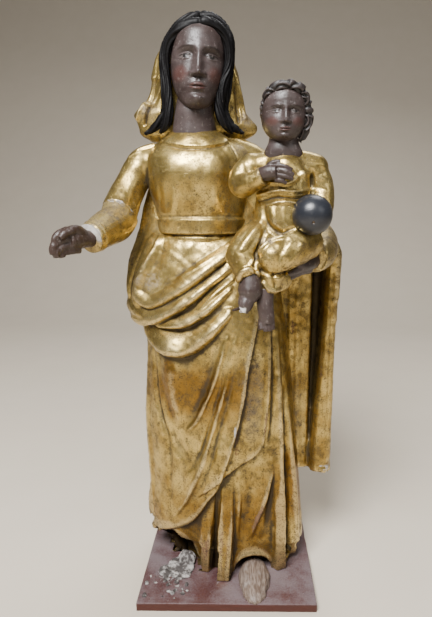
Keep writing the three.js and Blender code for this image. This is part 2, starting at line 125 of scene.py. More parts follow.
class Finish:
    """A painted finish: one material whose nodes are added by node()."""

    def __init__(self, name):
        self.material = bpy.data.materials.new(name)
        self.material.use_nodes = True
        self.tree = self.material.node_tree
        self.shader = self.tree.nodes["Principled BSDF"]
        where = self.node("ShaderNodeTexCoord", output="Object")
        self.place = self.node("ShaderNodeVectorMath", {"operation": "SCALE"}, {0: where, "Scale": 1 / MM})

    def feed(self, socket, value):
        if isinstance(value, Value):
            self.tree.links.new(value.socket, socket)
        else:
            socket.default_value = value

    def node(self, kind, settings=None, inputs=None, output=0):
        made = self.tree.nodes.new(kind)
        for key, value in (settings or {}).items():
            setattr(made, key, value)
        for key, value in (inputs or {}).items():
            self.feed(made.inputs[key], value)
        return Value(self, made.outputs[output])

    def mark(self, name):
        return self.node("ShaderNodeAttribute", {"attribute_name": name}, output="Fac")

    def stretched(self, across, along):
        scale = (1 / across, 1 / across, 1 / along)
        return self.node("ShaderNodeMapping", None, {"Vector": self.place, "Scale": scale})

    def noise(self, size, detail=3.0, rough=0.55, at=None):
        vector = at or self.place
        inputs = {"Vector": vector, "Scale": 1 / size, "Detail": detail, "Roughness": rough}
        return self.node("ShaderNodeTexNoise", None, inputs)

    def cells(self, size):
        inputs = {"Vector": self.place, "Scale": 1 / size}
        return self.node("ShaderNodeTexVoronoi", None, inputs, output="Distance")

    def between(self, value, low, high):
        inputs = {"Value": value, "From Min": low, "From Max": high}
        return self.node("ShaderNodeMapRange", {"interpolation_type": "SMOOTHSTEP"}, inputs)

    def blend(self, share, first, second):
        colours = [c if isinstance(c, Value) else (*c, 1.0) for c in (first, second)]
        inputs = {0: share, 6: colours[0], 7: colours[1]}
        return self.node("ShaderNodeMix", {"data_type": "RGBA"}, inputs, output=2)

    def finish(self, colour, rough, metal=0.0, height=None, depth=0.2):
        """Joins colour, roughness, metal and relief (depth in mm for a height of 1) to the shader."""
        self.feed(self.shader.inputs["Base Color"], colour)
        self.feed(self.shader.inputs["Roughness"], rough)
        self.feed(self.shader.inputs["Metallic"], metal)
        if height is not None:
            inputs = {"Strength": 1.0, "Distance": depth * MM, "Height": height}
            normal = self.node("ShaderNodeBump", None, inputs)
            self.feed(self.shader.inputs["Normal"], normal)
        return self.material


def hand_over(piece, node, material):
    piece.data.name = piece.name
    piece.data.materials.clear()
    piece.data.materials.append(material)
    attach(piece, "root")
    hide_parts(node)


clear_selection()
bpy.ops.mesh.primitive_cube_add(size=1, location=(0, 0, BOARD[2] / 2 * MM))
board = bpy.context.object
board.name = "board"
board.scale = [side * MM for side in BOARD]
bpy.ops.object.transform_apply(location=True, rotation=False, scale=True)
bpy.ops.object.mode_set(mode="EDIT")
bpy.ops.mesh.select_all(action="SELECT")
bpy.ops.mesh.bevel(offset=0.7 * MM, segments=3, affect="EDGES")
bpy.ops.mesh.select_all(action="SELECT")
bpy.ops.mesh.subdivide(number_cuts=12)
bpy.ops.object.mode_set(mode="OBJECT")
bpy.ops.object.shade_smooth_by_angle(angle=math.radians(40))
wood = points_of(board)
edge = np.minimum(BOARD[0] / 2 - np.abs(wood[:, 0]), BOARD[1] / 2 - np.abs(wood[:, 1]))
upper = rise(wood[:, 2], 3.5, 6.4)
nibble = np.clip(wander(wood, 5, 3) - 0.55, 0, None) * upper * (1 - rise(edge, 0.2, 2.0))
wood[:, 2] -= 0.9 * nibble
wood[:, :2] *= (1 - 0.008 * nibble)[:, None]
wood[:, 1] += ASKEW * wood[:, 0] * (0.5 - wood[:, 1] / BOARD[1])
move_to(board, wood)
scar = np.linalg.norm((wood[:, :2] - (-45, -30)) / (20, 26), axis=1)
mark(board, "bare", 1 - rise(scar, 0.2, 1.1))

red_paint = Finish("red_paint")
patches = red_paint.noise(26, 4, 0.6)
brushing = red_paint.noise(1.0, 3, 0.6, at=red_paint.stretched(9, 1.4))
dust = red_paint.noise(1.3, 5, 0.7)
upward = red_paint.between(
    red_paint.node("ShaderNodeSeparateXYZ", None, {0: red_paint.place}, output="Z"), 5.0, 6.6)
greyed = red_paint.between(patches + 0.35 * dust, 0.5, 0.86) * upward
crumbs = red_paint.between(red_paint.noise(4.5, 6, 0.75), 0.64, 0.7) * upward
flake_edge = 0.8 * red_paint.mark("bare") + 1.6 * (red_paint.noise(1.7, 6, 0.75) - 0.5)
flaked = red_paint.between(flake_edge, 0.66, 0.80) * upward
colour = red_paint.blend(brushing, (0.036, 0.0055, 0.0035), (0.072, 0.013, 0.008))
rubbed = upward * red_paint.between(dust, 0.2, 0.75)
colour = red_paint.blend(0.66 * rubbed, colour, (0.092, 0.058, 0.064))
colour = red_paint.blend(0.75 * greyed, colour, (0.175, 0.140, 0.147))
colour = red_paint.blend(0.5 * crumbs, colour, (0.30, 0.265, 0.26))
chalk = red_paint.blend(dust, (0.12, 0.10, 0.10), (0.52, 0.49, 0.48))
colour = red_paint.blend(0.85 * flaked, colour, chalk)
red_paint.finish(colour, 0.5 + 0.3 * greyed, 0.0, dust + brushing + 0.8 * crumbs + 1.5 * flaked, 0.18)
hand_over(board, "base_board", red_paint.material)


# Robe: the tunic skirt with the cloak wrapped round the hips and hanging behind, the largest part of the
# carved figure. Limewood or the like, coated with gesso and leaf gilded; the folds are gouge cut.

# Each level is z, middle x, middle y, then the outermost left x, right x, front y and back y.
ROBE_LEVELS = [
    (6.5, 3, 10, -47, 56, -25, 46),
    (20, 2, 10, -56, 60, -26, 48),
    (55, -1, 9, -61.5, 57, -27.5, 48.5),
    (115, -5, 8, -65, 51, -29, 46.5),
    (139, -6, 8, -65, 49, -29.5, 46),
    (180, -8, 8, -63.5, 44, -29, 45),
    (196, -10, 7, -66, 42, -28.5, 45),
    (206, -12, 6, -74, 40, -28, 45),
    (220, -13, 6, -79, 38, -27, 45),
    (240, -16, 7, -76.5, 36, -24, 44),
    (258, -18, 9, -70.5, 34, -19, 42),
    (268, -19, 11, -68, 33, -8, 41),
    (285, -20, 12, -64.5, 32, -4, 40),
    (308, -22, 12, -58, 26, -2, 36.5),
    (322, -24, 11, -50, 14, 0, 30),
    (332, -25, 10, -38, -4, 2, 20),
]
ROBE_COLUMNS = 280
ROBE_ROWS = 320
ROBE_ROW_SHARES = [(0, 6.5), (0.42, 178), (0.80, 262), (1, 332)]  # rows lie closest in the swags
FRONT_SHARE = 0.55  # how much closer the columns stand at the front than behind


def bent(knots, per_span=10):
    """Points along a smooth curve through the knots."""
    knots = np.asarray(knots, float)
    padded = np.vstack([2 * knots[0] - knots[1], knots, 2 * knots[-1] - knots[-2]])
    t = np.linspace(0, 1, per_span, endpoint=False)[:, None]
    spans = []
    for a, b, c, d in zip(padded[:-3], padded[1:-2], padded[2:-1], padded[3:]):
        cubic = (-a + 3 * b - 3 * c + d) * t**3 + (2 * a - 5 * b + 4 * c - d) * t**2
        spans.append(0.5 * (cubic + (c - a) * t + 2 * b))
    return np.vstack([*spans, knots[-1:]])


def ring(levels, angle, z):
    """Points on a column given by its levels. The angle is 0 at the right and -90 degrees in front."""
    table = bent(levels, 12)
    mx, my, left, right, front, back = [np.interp(z, table[:, 0], table[:, k]) for k in range(1, 7)]
    across, deep = np.cos(angle), np.sin(angle)
    x = mx + np.where(across < 0, mx - left, right - mx) * across
    y = my + np.where(deep < 0, my - front, back - my) * deep
    return np.stack([x, y, z], axis=1)


def rolled(name, columns, rows, outline):
    """A sheet rolled into a closed form: outline turns its u (round) and v (up), 0 to 1, into places."""
    clear_selection()
    bpy.ops.mesh.primitive_grid_add(x_subdivisions=columns, y_subdivisions=rows, size=1)
    piece = bpy.context.object
    piece.name = name
    flat = points_of(piece) * MM + 0.5
    move_to(piece, outline(flat[:, 0], flat[:, 1]))
    bpy.ops.object.mode_set(mode="EDIT")
    bpy.ops.mesh.select_all(action="SELECT")
    bpy.ops.mesh.remove_doubles(threshold=1e-6)
    bpy.ops.mesh.fill_holes(sides=0)
    bpy.ops.mesh.select_all(action="SELECT")
    bpy.ops.mesh.normals_make_consistent(inside=False)
    bpy.ops.object.mode_set(mode="OBJECT")
    bpy.ops.object.shade_smooth()
    return piece


def column(name, levels, columns, rows, front_share=0.0, row_shares=None):
    def outline(u, v):
        angle = math.pi / 2 + 2 * math.pi * u + front_share * np.sin(2 * math.pi * u)
        shares, heights = zip(*(row_shares or [(0, levels[0][0]), (1, levels[-1][0])]))
        return ring(levels, angle, np.interp(v, shares, heights))

    return rolled(name, columns, rows, outline)


VIEWS = {  # where a drawn path is thrown from on to the form: its two axes, and the way it is thrown
    "front": ((1, 0, 0), (0, 0, 1), (0, 1, 0)),
    "back": ((1, 0, 0), (0, 0, 1), (0, -1, 0)),
    "left": ((0, 1, 0), (0, 0, 1), (1, 0, 0)),
    "right": ((0, 1, 0), (0, 0, 1), (-1, 0, 0)),
}
THROW = 300.0


def laid_on(tree, path, view):
    """A path drawn on a view, in mm, laid on the form's surface."""
    first, second, way = [Vector(axis) for axis in VIEWS[view]]
    spots = []
    for p, q in bent(path, 6):
        start = first * p + second * q - way * THROW
        hit = tree.ray_cast(start, way)[0] or tree.find_nearest(start + way * (THROW - 20))[0]
        spots.append(hit)
    return np.array(spots)


def beside(path, points, normals, reach):
    """How far each point is from a path, on which side of it, and how far along it, for those in reach."""
    near = np.all((points > path.min(0) - reach) & (points < path.max(0) + reach), axis=1)
    p, n = points[near], normals[near]
    far, side, share = np.full(len(p), 1e9), np.ones(len(p)), np.zeros(len(p))
    lengths = np.linalg.norm(np.diff(path, axis=0), axis=1)
    starts = np.concatenate([[0], np.cumsum(lengths)])
    for a, b, length, start in zip(path[:-1], path[1:], lengths, starts):
        run = b - a
        t = np.clip((p - a) @ run / max(length**2, 1e-9), 0, 1)
        off = p - a - t[:, None] * run
        d = np.linalg.norm(off, axis=1)
        closer = d < far
        turn = np.einsum("ij,ij->i", np.cross(run, off), n)
        far = np.where(closer, d, far)
        side = np.where(closer, np.sign(turn), side)
        share = np.where(closer, (start + t * length) / starts[-1], share)
    return near, far, side, share


def varied(values, share):
    values = np.atleast_1d(values).astype(float)
    return np.interp(share, np.linspace(0, 1, len(values)), values)


SWAG_LEAN = 0.45  # how much wider a swag's fold is above its crest than below it


def carve(piece, strokes):
    """Cuts strokes into a piece along its normals. A stroke is its kind, its path on a view, a width, a
    height and the view: a roll, a flat-topped pleat or a swag lies on the form, a fold swells (or, below 0,
    sinks), and an edge lifts what is left of its path. With no kind it is a fold. All are in mm."""
    points, normals = points_of(piece), normals_of(piece)
    normals[:, 2] *= rise(points[:, 2], points[:, 2].min(), points[:, 2].min() + 2)
    faces = [tuple(face.vertices) for face in piece.data.polygons]
    tree = BVHTree.FromPolygons([Vector(p) for p in points], faces)
    swell = np.zeros(len(points))
    rolls = np.zeros(len(points))
    for stroke in strokes:
        kind, path, width, height, *view = stroke if isinstance(stroke[0], str) else ("fold", *stroke)
        reach = float(np.max(width)) * (1 + SWAG_LEAN) + 1
        laid = laid_on(tree, path, view[0] if view else "front")
        near, far, side, share = beside(laid, points, normals, reach)
        w, h = varied(width, share), varied(height, share)
        if kind == "edge":
            signed = far * side
            swell[near] += h * rise(signed, -0.7, 0.7) * (1 - rise(signed, 0.35 * w, w))
        elif kind == "fold":
            swell[near] += h * np.cos(np.clip(far / w, 0, 1) * math.pi / 2) ** 2
        elif kind == "pleat":
            rolls[near] = np.maximum(rolls[near], h * (1 - rise(far / w, 0.62, 1.0)))
        elif kind == "swag":
            t = np.clip(far / (w * (1 + SWAG_LEAN * side)), 0, 1)
            rolls[near] = np.maximum(rolls[near], h * np.where(side > 0, 1 - t**1.6, np.sqrt(1 - t**2)))
        else:
            rolls[near] = np.maximum(rolls[near], h * (1 - np.clip(far / w, 0, 1) ** 2) ** 0.75)
    move_to(piece, points + normals * (swell + rolls)[:, None])


SWAGS = [
    ("swag", [(-50, 264), (-54, 254), (-59, 245), (-64.5, 236), (-68, 228), (-68.5, 221), (-64.5, 215.5),
              (-56, 213.5), (-44, 218.5), (-31, 227), (-18, 236.5), (-8, 244.5), (2, 253)],
     [3, 3.6, 4, 4.4, 4.8, 5.2, 5.6, 6, 6.4, 6.8, 6.6, 5.6, 4.5],
     [0, 1.5, 2.4, 2.8, 3, 3.4, 4.2, 5, 6, 6.5, 6.2, 5, 2.5]),
    ("swag", [(-79, 222), (-78, 212), (-73, 204.5), (-64, 201), (-54, 203), (-44, 207.5), (-33, 214),
              (-20.5, 223.5), (-8, 233.5), (0, 240)],
     [4.5, 5, 5.4, 5.8, 6, 6, 5.8, 5.2, 4.6, 4], [1.5, 3, 4.5, 5.8, 6.3, 6.5, 6.3, 5.6, 4.5, 2.5]),
    ("swag", [(26, 226), (14, 214), (2, 209), (-8, 207), (-16, 204)], [4, 5, 5.4, 5.4, 5.4],
     [0, 2.6, 3.4, 4, 4.6], "left"),
    ("swag", [(-34, 203), (-26, 206.5), (-19.5, 211.5), (-12, 220), (-4, 227), (2, 232)],
     [2, 3, 3.4, 3.4, 3.2, 2.5], [0.5, 3.2, 4, 4, 3.4, 1.5]),
    ("swag", [(-60, 203), (-52, 199.5), (-44, 199), (-30, 202), (-18, 208.5), (-8, 217), (0, 225)],
     [3, 4, 4.8, 5, 4.8, 4.2, 3.2], [0.5, 3, 5, 6, 5.6, 4.6, 2]),
    ("swag", [(-66, 202), (-60, 192), (-54, 186), (-47, 182.5), (-38, 181.5), (-27, 184), (-17, 191),
              (-6, 202), (0, 209)],
     [5, 8, 9, 9.4, 9.6, 9, 7.6, 5.6, 4], [1, 4, 5.6, 6.8, 7.6, 7.4, 6.6, 5, 2.5]),
]
HIP = [
    ([(-60, 262), (-66, 249), (-72, 234), (-74.5, 222), (-71, 212.5), (-62, 208.5)], 2.6,
     [0, -1, -1.6, -1.8, -1.6, 0]),
    ([(-46, 262), (-50, 250), (-54, 238), (-56, 229)], [6, 8, 9, 7], [0, -1.2, -1.4, 0]),
    ([(-46, 230), (-30, 236.5), (-18, 243.5), (-6, 252)], 1.5, [0, 0.9, 0.9, 0]),
    ([(-26, 262), (-29, 254)], 7, 0.8),
]
WRAP_FOLDS = [
    ("edge", [(-62, 29), (-52, 31.5), (-42, 37), (-33, 43), (-23.5, 52), (-14, 68), (-7, 79), (1, 106),
              (9, 140), (13, 172), (18, 203)], 42, 4.4),
    ([(-22, 54), (-13, 70), (-6, 81), (1, 107), (8.5, 141), (12, 172), (17, 203)], 2.6,
     [0, 0.8, 1.2, 1.4, 1.4, 1.2, 0.6]),
    ("edge", [(-4, 86), (8, 96), (19, 103), (24.5, 110), (26.5, 122), (28.5, 145), (29, 173),
              (28.5, 200)], 30, 2.8),
    ([(-41, 186), (-41, 160), (-38, 138), (-34, 118)], [14, 13, 9, 4], [2.5, 4, 3, 0]),
    ([(-46, 120), (-36, 106), (-26, 98)], 8, [0, -2, 0]),
    ([(-1, 196), (-5, 180), (-10.7, 159), (-16.5, 144), (-23, 130), (-34, 117)], 3,
     [0, 2.2, 2.8, 2.8, 2.4, 0]),
    ([(-6, 196), (-14, 165), (-20, 148), (-30, 126)], 5, [0, -2, -2.2, 0]),
    ([(3, 196), (-1.5, 170), (-7, 148), (-13, 125), (-20, 105), (-30, 88)], 3.2,
     [0, -2, -2.6, -2.6, -2, 0]),
    ([(6, 200), (0, 176), (-4.8, 152.5), (-12.4, 122.2), (-17.5, 100.2), (-24, 82), (-30, 67.4),
      (-37.5, 54.4), (-43, 46)], 3.2, [0, 1.8, 2.4, 2.8, 2.8, 2.8, 2.6, 1.6, 0]),
    ([(9, 196), (4, 170), (-1, 146), (-7, 122), (-12, 100), (-19, 80), (-27, 64)], 3,
     [0, -1, -1.4, -1.6, -1.6, -1.4, 0]),
    ([(-57, 184), (-55.5, 158), (-53, 134), (-46, 110), (-44, 80), (-42, 52)], 4,
     [0, -2, -2.6, -1.8, -1.2, 0]),
    ([(-31, 104), (-28, 90), (-32, 66)], 8, [0, 2, 0]),
    ([(18, 196), (20, 150), (16, 112)], 7, [0, -1.4, 0]),
    ([(25, 196), (25.5, 150), (23, 112)], 2.4, [0, -1.2, 0]),
]
TUNIC_FOLDS = [
    ([(30.5, 202), (32, 160), (31.5, 130), (29, 104)], 2.6, [0, -2.6, -2.6, 0]),
    ([(34, 200), (36, 150), (38, 108), (39, 70), (40, 12)], 4.2, [0, 3, 3.6, 3, 1]),
    ([(41, 154), (43.5, 100), (45.5, 60), (47, 14)], 3.6, [0, -4.4, -5, -4]),
    ([(44, 136), (47, 100), (51, 60), (54, 14)], 5, [0, 3, 3, 2]),
    ([(35, 102), (32, 88), (25.7, 63.6), (20, 48), (15.7, 34)], 3.6, [0, 2.4, 3.4, 3, 0]),
    ([(38, 96), (31, 60), (26, 24)], 4, [0, -2, 0]),
    ([(22, 108), (15, 66), (11, 22)], 6.5, [0, -2, 0]),
    ("pleat", [(-16, 56), (-17, 30), (-18.7, 6.5)], [4, 5.8, 7], [0, 4, 5]),
    ("pleat", [(-0.5, 84), (-1.5, 50), (-3.4, 6.5)], [5, 7, 6.8], [0, 7, 12]),
    ("pleat", [(36.5, 106), (37, 63), (38.8, 6.5)], [2.5, 4.6, 5.6], [0, 4, 5.5]),
    ("roll", [(7.5, 92), (7, 60), (6.5, 32)], [2, 2.8, 2], [0, 2.5, 0]),
    ([(-8.5, 80), (-10, 40), (-11, 7)], 2.0, [0, -4, -5]),
]
SIDE_FOLDS = [
    ([(2, 186), (0, 120), (2, 26)], 7, [1, 2.4, 2.6], "left"),
    ([(11, 190), (10, 120), (12, 22)], 5, [-1.4, -2.6, -2.4], "left"),
    ([(20, 192), (20, 120), (23, 20)], 7, [1, 2.2, 2.8], "left"),
    ([(12, 300), (6, 262), (0, 236), (-4, 220)], 6, [0.5, 1.8, 2, 1], "left"),
    ([(24, 300), (18, 258), (10, 222), (6, 214)], 7, [-0.5, -2, -2.4, -1], "left"),
]
BACK_FOLDS = [
    ([(top, 262), ((top + low) / 2 - 2, 150), (low, 18)], 8, [0.4, height, 1.25 * height], "back")
    for top, low, height in ((-44, -40, 2.4), (-33, -26, -2.6), (-22, -13, 2.8), (-12, 0, -2.8),
                             (-2, 13, 2.6), (8, 27, -2.6), (18, 40, 2.4))
] + [
    ([(-52, 300), (-30, 268), (-4, 262), (18, 286)], 8, [0.5, 1.8, 1.8, 0.5], "back"),
    ([(-48, 286), (-30, 252), (-4, 246), (16, 268)], 8, [-0.5, -1.8, -1.8, -0.5], "back"),
]

robe = column("mother_robe", ROBE_LEVELS, ROBE_COLUMNS, ROBE_ROWS, FRONT_SHARE, ROBE_ROW_SHARES)
carve(robe, BACK_FOLDS + SIDE_FOLDS)
carve(robe, WRAP_FOLDS + TUNIC_FOLDS)
carve(robe, SWAGS + HIP)

# Hem: it arches over the left foot and over the lost right one, and the cloak ends above the tunic.
cloth = points_of(robe)
out = normals_of(robe)
ahead = rise(-out[:, 1], 0.05, 0.35)
x, z = cloth[:, 0], cloth[:, 2]
foot_x = 19
half_arch = 14
foot_arch = 8 + 12.5 * np.sqrt(np.clip(1 - ((x - foot_x) / half_arch) ** 2, 0, None))
lost_end = -26.2  # the broken hem over the lost foot runs left from here
lost_arch = np.interp(x, [-66, -54, -43, -36, -29, lost_end], [25, 29, 33, 28, 20, 15])
under = (np.abs(x - foot_x) < half_arch) * (1 - rise(z, foot_arch - 1.2, foot_arch + 0.3)) * 12
set_back = np.interp(x, [-66, -46, -38, -26], [16, 16, 10, 9])
open_hem = (x < lost_end) * (1 - rise(z, lost_arch - 1.2, lost_arch + 0.3))
under = np.maximum(under, open_hem * set_back)
cloth[:, 1] += under * ahead
lip = np.exp(-(((z - foot_arch - 1.6) / 1.3) ** 2)) * (np.abs(x - foot_x) < half_arch - 1)
cloth[:, 1] -= 1.6 * lip * ahead
left_z = 21 + 0.5 * np.clip(5 - cloth[:, 1], 0, 16)
left_hem = (1 - rise(z, left_z - 1, left_z + 0.5)) * rise(-out[:, 0], 0.2, 0.6) * (x < 0)
right_hem = (1 - rise(z, 21, 22.5)) * rise(out[:, 0], 0.3, 0.7) * (x > 47)
cloth[:, 0] += 11 * left_hem - 8 * right_hem
gouged = 0.16 * wander(cloth * np.array([1, 1, 0.35]), 5, 11) + 0.10 * wander(cloth, 2.6, 12)
cloth += out * gouged[:, None]
cloth[:, 2] = np.maximum(cloth[:, 2], BOARD[2])
move_to(robe, cloth)


def hollows(piece, rounds):
    """How deep each point lies below its surroundings, in mm: above 0 in hollows, below 0 on ridges."""
    points = points_of(piece)
    ends = np.empty(len(piece.data.edges) * 2, np.int32)
    piece.data.edges.foreach_get("vertices", ends)
    a, b = ends.reshape(-1, 2).T
    count = len(points)
    degree = (np.bincount(a, minlength=count) + np.bincount(b, minlength=count))[:, None]
    eased = points.copy()
    for _ in range(rounds):
        sums = [np.bincount(a, eased[b, k], count) + np.bincount(b, eased[a, k], count) for k in range(3)]
        eased = np.stack(sums, axis=1) / degree
    return np.einsum("ij,ij->i", normals_of(piece), eased - points)


def zone(points, *spots):
    """How much each point lies in any of the spots, each a centre and three radii in mm."""
    share = np.zeros(len(points))
    for centre, radii in spots:
        off = np.linalg.norm((points - np.array(centre)) / np.array(radii), axis=1)
        share = np.maximum(share, 1 - rise(off, 0.35, 1.0))
    return share


def gilding():
    """Leaf gilding on red bole and gesso. It reads the marks hollow, worn, dusty, amber, bole and bare."""
    leaf = Finish("gilding")
    hollow, worn_and_shade, dusty, amber_and_shade, bole, bare = [
        leaf.mark(m) for m in ("hollow", "worn_and_shade", "dusty", "amber_and_shade", "bole", "bare")]
    cloud = leaf.noise(17, 4, 0.6)
    patch = leaf.noise(6, 4, 0.65)
    fine = leaf.noise(1.7, 5, 0.7)
    grain = leaf.noise(1.0, 3, 0.6, at=leaf.stretched(0.9, 14))
    spots = leaf.between(leaf.noise(0.8, 2, 0.5) + 0.25 * (patch - 0.5), 0.57, 0.66)
    pits = leaf.between(leaf.cells(3.4), 0.2, 0.1) * leaf.between(leaf.noise(6, 2), 0.5, 0.62)
    crack = leaf.between(leaf.noise(1.0, 2, 0.5, at=leaf.stretched(1.2, 24)), 0.655, 0.70)
    # shade_and_grime darkens the hollows of the gilding almost to black: painted shade in the folds and
    # recesses, with some grime.
    shade_and_grime = leaf.between(hollow + 0.6 * (fine - 0.5) + 0.5 * (patch - 0.5), 0.10, 0.95)
    stain = leaf.between(patch + 0.6 * (cloud - 0.5) + 0.5 * (fine - 0.5), 0.45, 0.72)
    # rubbed pales the raised crests toward light gold: partly rubbed, burnished leaf and partly a painted
    # highlight along the ridges.
    rubbed = leaf.between(0.9 * (fine - 0.5) - hollow, 0.45, 0.95)
    # grey follows the worn_and_shade mark: grey rubbed leaf, and painted shade on the sides where that mark
    # is laid for it.
    grey = leaf.between(worn_and_shade + 1.5 * (fine - 0.5) + 1.1 * (patch - 0.5), 0.30, 1.25)
    dust = leaf.between(dusty + 1.4 * (fine - 0.5) + 1.2 * (patch - 0.5), 0.25, 1.2)
    red = leaf.between(0.7 * bole + 0.35 * rubbed + 1.3 * (fine - 0.5) + 0.7 * (grain - 0.5), 0.48, 0.78)
    white = leaf.between(bare + 1.0 * (fine - 0.5) + 0.4 * (patch - 0.5), 0.45, 0.60)

    colour = leaf.blend(leaf.between(cloud, 0.3, 0.72), (0.64, 0.480, 0.170), (0.38, 0.262, 0.072))
    # amber_and_shade_share warms and darkens the leaf: an amber tone, and painted shade where the mark is
    # laid under the bust, under the arms and low on the robe.
    amber_and_shade_share = leaf.between(amber_and_shade + 0.5 * (cloud - 0.5), 0.2, 0.8)
    colour = leaf.blend(0.9 * amber_and_shade_share, colour, (0.22, 0.112, 0.016))
    colour = leaf.blend(0.4 * rubbed, colour, (0.86, 0.70, 0.38))
    colour = leaf.blend(0.65 * stain, colour, (0.100, 0.066, 0.022))
    colour = leaf.blend(0.8 * grey, colour, (0.105, 0.080, 0.054))
    colour = leaf.blend(0.8 * dust, colour, (0.30, 0.265, 0.26))
    colour = leaf.blend(0.9 * shade_and_grime, colour, (0.026, 0.017, 0.008))
    colour = leaf.blend(0.8 * red, colour, (0.090, 0.028, 0.015))
    colour = leaf.blend((0.8 * spots).most(0.8 * pits).most(0.35 * crack), colour, (0.018, 0.011, 0.005))
    colour = leaf.blend(white, colour, leaf.blend(fine, (0.14, 0.12, 0.10), (0.56, 0.52, 0.48)))
    dull = (0.85 * grey).most(red).most(dust).most(0.7 * shade_and_grime).most(0.8 * spots)
    metal = (0.96 - 0.70 * dull - 0.15 * stain) * (1 - white)
    rough = 0.22 + 0.15 * fine + 0.28 * dull + 0.08 * stain + 0.25 * white
    relief = 0.7 * fine + 0.4 * grain - 0.9 * pits - 0.6 * spots - 0.35 * crack + 0.5 * white
    return leaf.finish(colour, rough, metal, relief, 0.12)


HOLLOW_SPAN = 1.5  # mm of hollow that gathers full painted shade and grime in the cloth
FLESH_SPAN = 0.7  # the same on the mother's head and on small limbs
HAND_SPAN = 0.8  # on hands and feet
CHILD_SPAN = 0.5  # on the child's head and neck

gilt = gilding()
cloth = points_of(robe)
mark(robe, "hollow", hollows(robe, 45) / HOLLOW_SPAN)
# The lower front of the skirt grows warmer and darker toward the bottom, partly an amber tone and partly
# painted shade; the knee takes the amber tone.
low = 1 - rise(cloth[:, 2], 150, 190)
knee = zone(cloth, ((-44, -26, 152), (11, 14, 42)))
low_front_amber_and_shade = low * (0.50 + 0.25 * wander(cloth, 30, 21)) * rise(-cloth[:, 1], -30, 5)
mark(robe, "amber_and_shade", np.maximum(knee, low_front_amber_and_shade))
# The first worn_and_shade patch, on the left side of the hips that faces away from the light, is painted
# shade; the others are grey wear.
mark(robe, "worn_and_shade", 0.85 * zone(
    cloth, ((-74, 6, 256), (9, 26, 36)), ((18, -30, 150), (14, 14, 64)), ((-36, -26, 252), (10, 9, 10)),
    ((-20, 40, 240), (60, 16, 100))))
mark(robe, "dusty", 0.6 * zone(cloth, ((-59, -18, 230), (17, 18, 12))))
mark(robe, "bole", 0.8 * zone(
    cloth, ((-36, -30, 106), (12, 10, 12)), ((27, -30, 130), (3, 9, 30)), ((-3, -42, 40), (8, 12, 40)),
    ((-18, -34, 32), (8, 10, 30)), ((22, -30, 50), (14, 10, 30)), ((6, -32, 112), (4, 9, 24))))
mark(robe, "bare", 0.62 * zone(cloth, ((5, -34, 124), (1.8, 5, 9)), ((-34, -24, 28), (9, 8, 4))))
hand_over(robe, "figure", gilt)


# Bodice: the chest, belt, collar band and the right upper arm in its sleeve, carved in one with the robe.
# The sleeve ends at the glued seam of the forearm, where white gesso shows.

BODICE_LEVELS = [
    (254, -20, 3, -49, 9, -18.5, 18),
    (262, -20.3, 3, -51, 9, -19.5, 20),
    (268, -20.5, 2.5, -52, 9, -20.5, 20),
    (278, -21, 2, -54, 9.5, -21.5, 20),
    (290, -22, 2, -58, 11, -24, 20),
    (303, -23, 2, -60.5, 13, -26.5, 20),
    (314, -24, 2, -61, 14, -25, 20),
    (323, -25, 3, -58, 12, -20, 19),
    (330, -26, 3, -48, -2, -16, 17),
    (334.5, -26, 3, -42, -9, -12.5, 14),
]
SEAM = {"place": (-78, -11, 277.5), "run": (-0.3, -0.62, -0.72)}


def rod(points, radii):
    """A round bar of wood along a bent path, with a radius at each point, in mm."""
    clear_selection()
    bpy.ops.curve.primitive_bezier_curve_add()
    bar = bpy.context.object
    spline = bar.data.splines[0]
    spline.bezier_points.add(len(points) - 2)
    for knot, point, radius in zip(spline.bezier_points, points, radii):
        knot.co = Vector(point) * MM
        knot.radius = radius
    for knot in spline.bezier_points:
        knot.handle_left_type = "AUTO"
        knot.handle_right_type = "AUTO"
    spline.radius_interpolation = "CARDINAL"
    bar.data.dimensions = "3D"
    bar.data.bevel_depth = MM
    bar.data.bevel_resolution = 8
    bar.data.resolution_u = 12
    bar.data.use_fill_caps = True
    bpy.ops.object.convert(target="MESH")
    return bpy.context.object


def ball(centre, radii):
    clear_selection()
    place = [c * MM for c in centre]
    bpy.ops.mesh.primitive_uv_sphere_add(segments=48, ring_count=28, radius=MM, location=place)
    bpy.context.object.scale = radii
    bpy.ops.object.transform_apply(location=True, rotation=True, scale=True)
    return bpy.context.object


def pick(piece):
    clear_selection()
    piece.select_set(True)
    bpy.context.view_layer.objects.active = piece


def applied(piece, kind, **settings):
    pick(piece)
    modifier = piece.modifiers.new(kind.lower(), kind)
    for key, value in settings.items():
        setattr(modifier, key, value)
    bpy.ops.object.modifier_apply(modifier=modifier.name)


def fused(name, masses, voxel, rounds):
    """Masses grown together into one skin of that voxel size, in mm, and eased."""
    clear_selection()
    for mass in masses:
        mass.select_set(True)
    bpy.context.view_layer.objects.active = masses[0]
    bpy.ops.object.join()
    piece = bpy.context.object
    piece.name = name
    applied(piece, "REMESH", mode="VOXEL", voxel_size=voxel * MM)
    applied(piece, "SMOOTH", factor=0.5, iterations=rounds)
    bpy.ops.object.shade_smooth()
    return piece


def sawn(piece, cut, keep_far, gap=0.0):
    """Saws a piece across at a joint and closes the face; gap moves the saw along the joint's run, in mm."""
    pick(piece)
    run = Vector(cut["run"]).normalized()
    place = (Vector(cut["place"]) + run * gap) * MM
    bpy.ops.object.mode_set(mode="EDIT")
    bpy.ops.mesh.select_all(action="SELECT")
    bpy.ops.mesh.bisect(plane_co=place, plane_no=run, use_fill=True,
                        clear_inner=keep_far, clear_outer=not keep_far)
    bpy.ops.object.mode_set(mode="OBJECT")


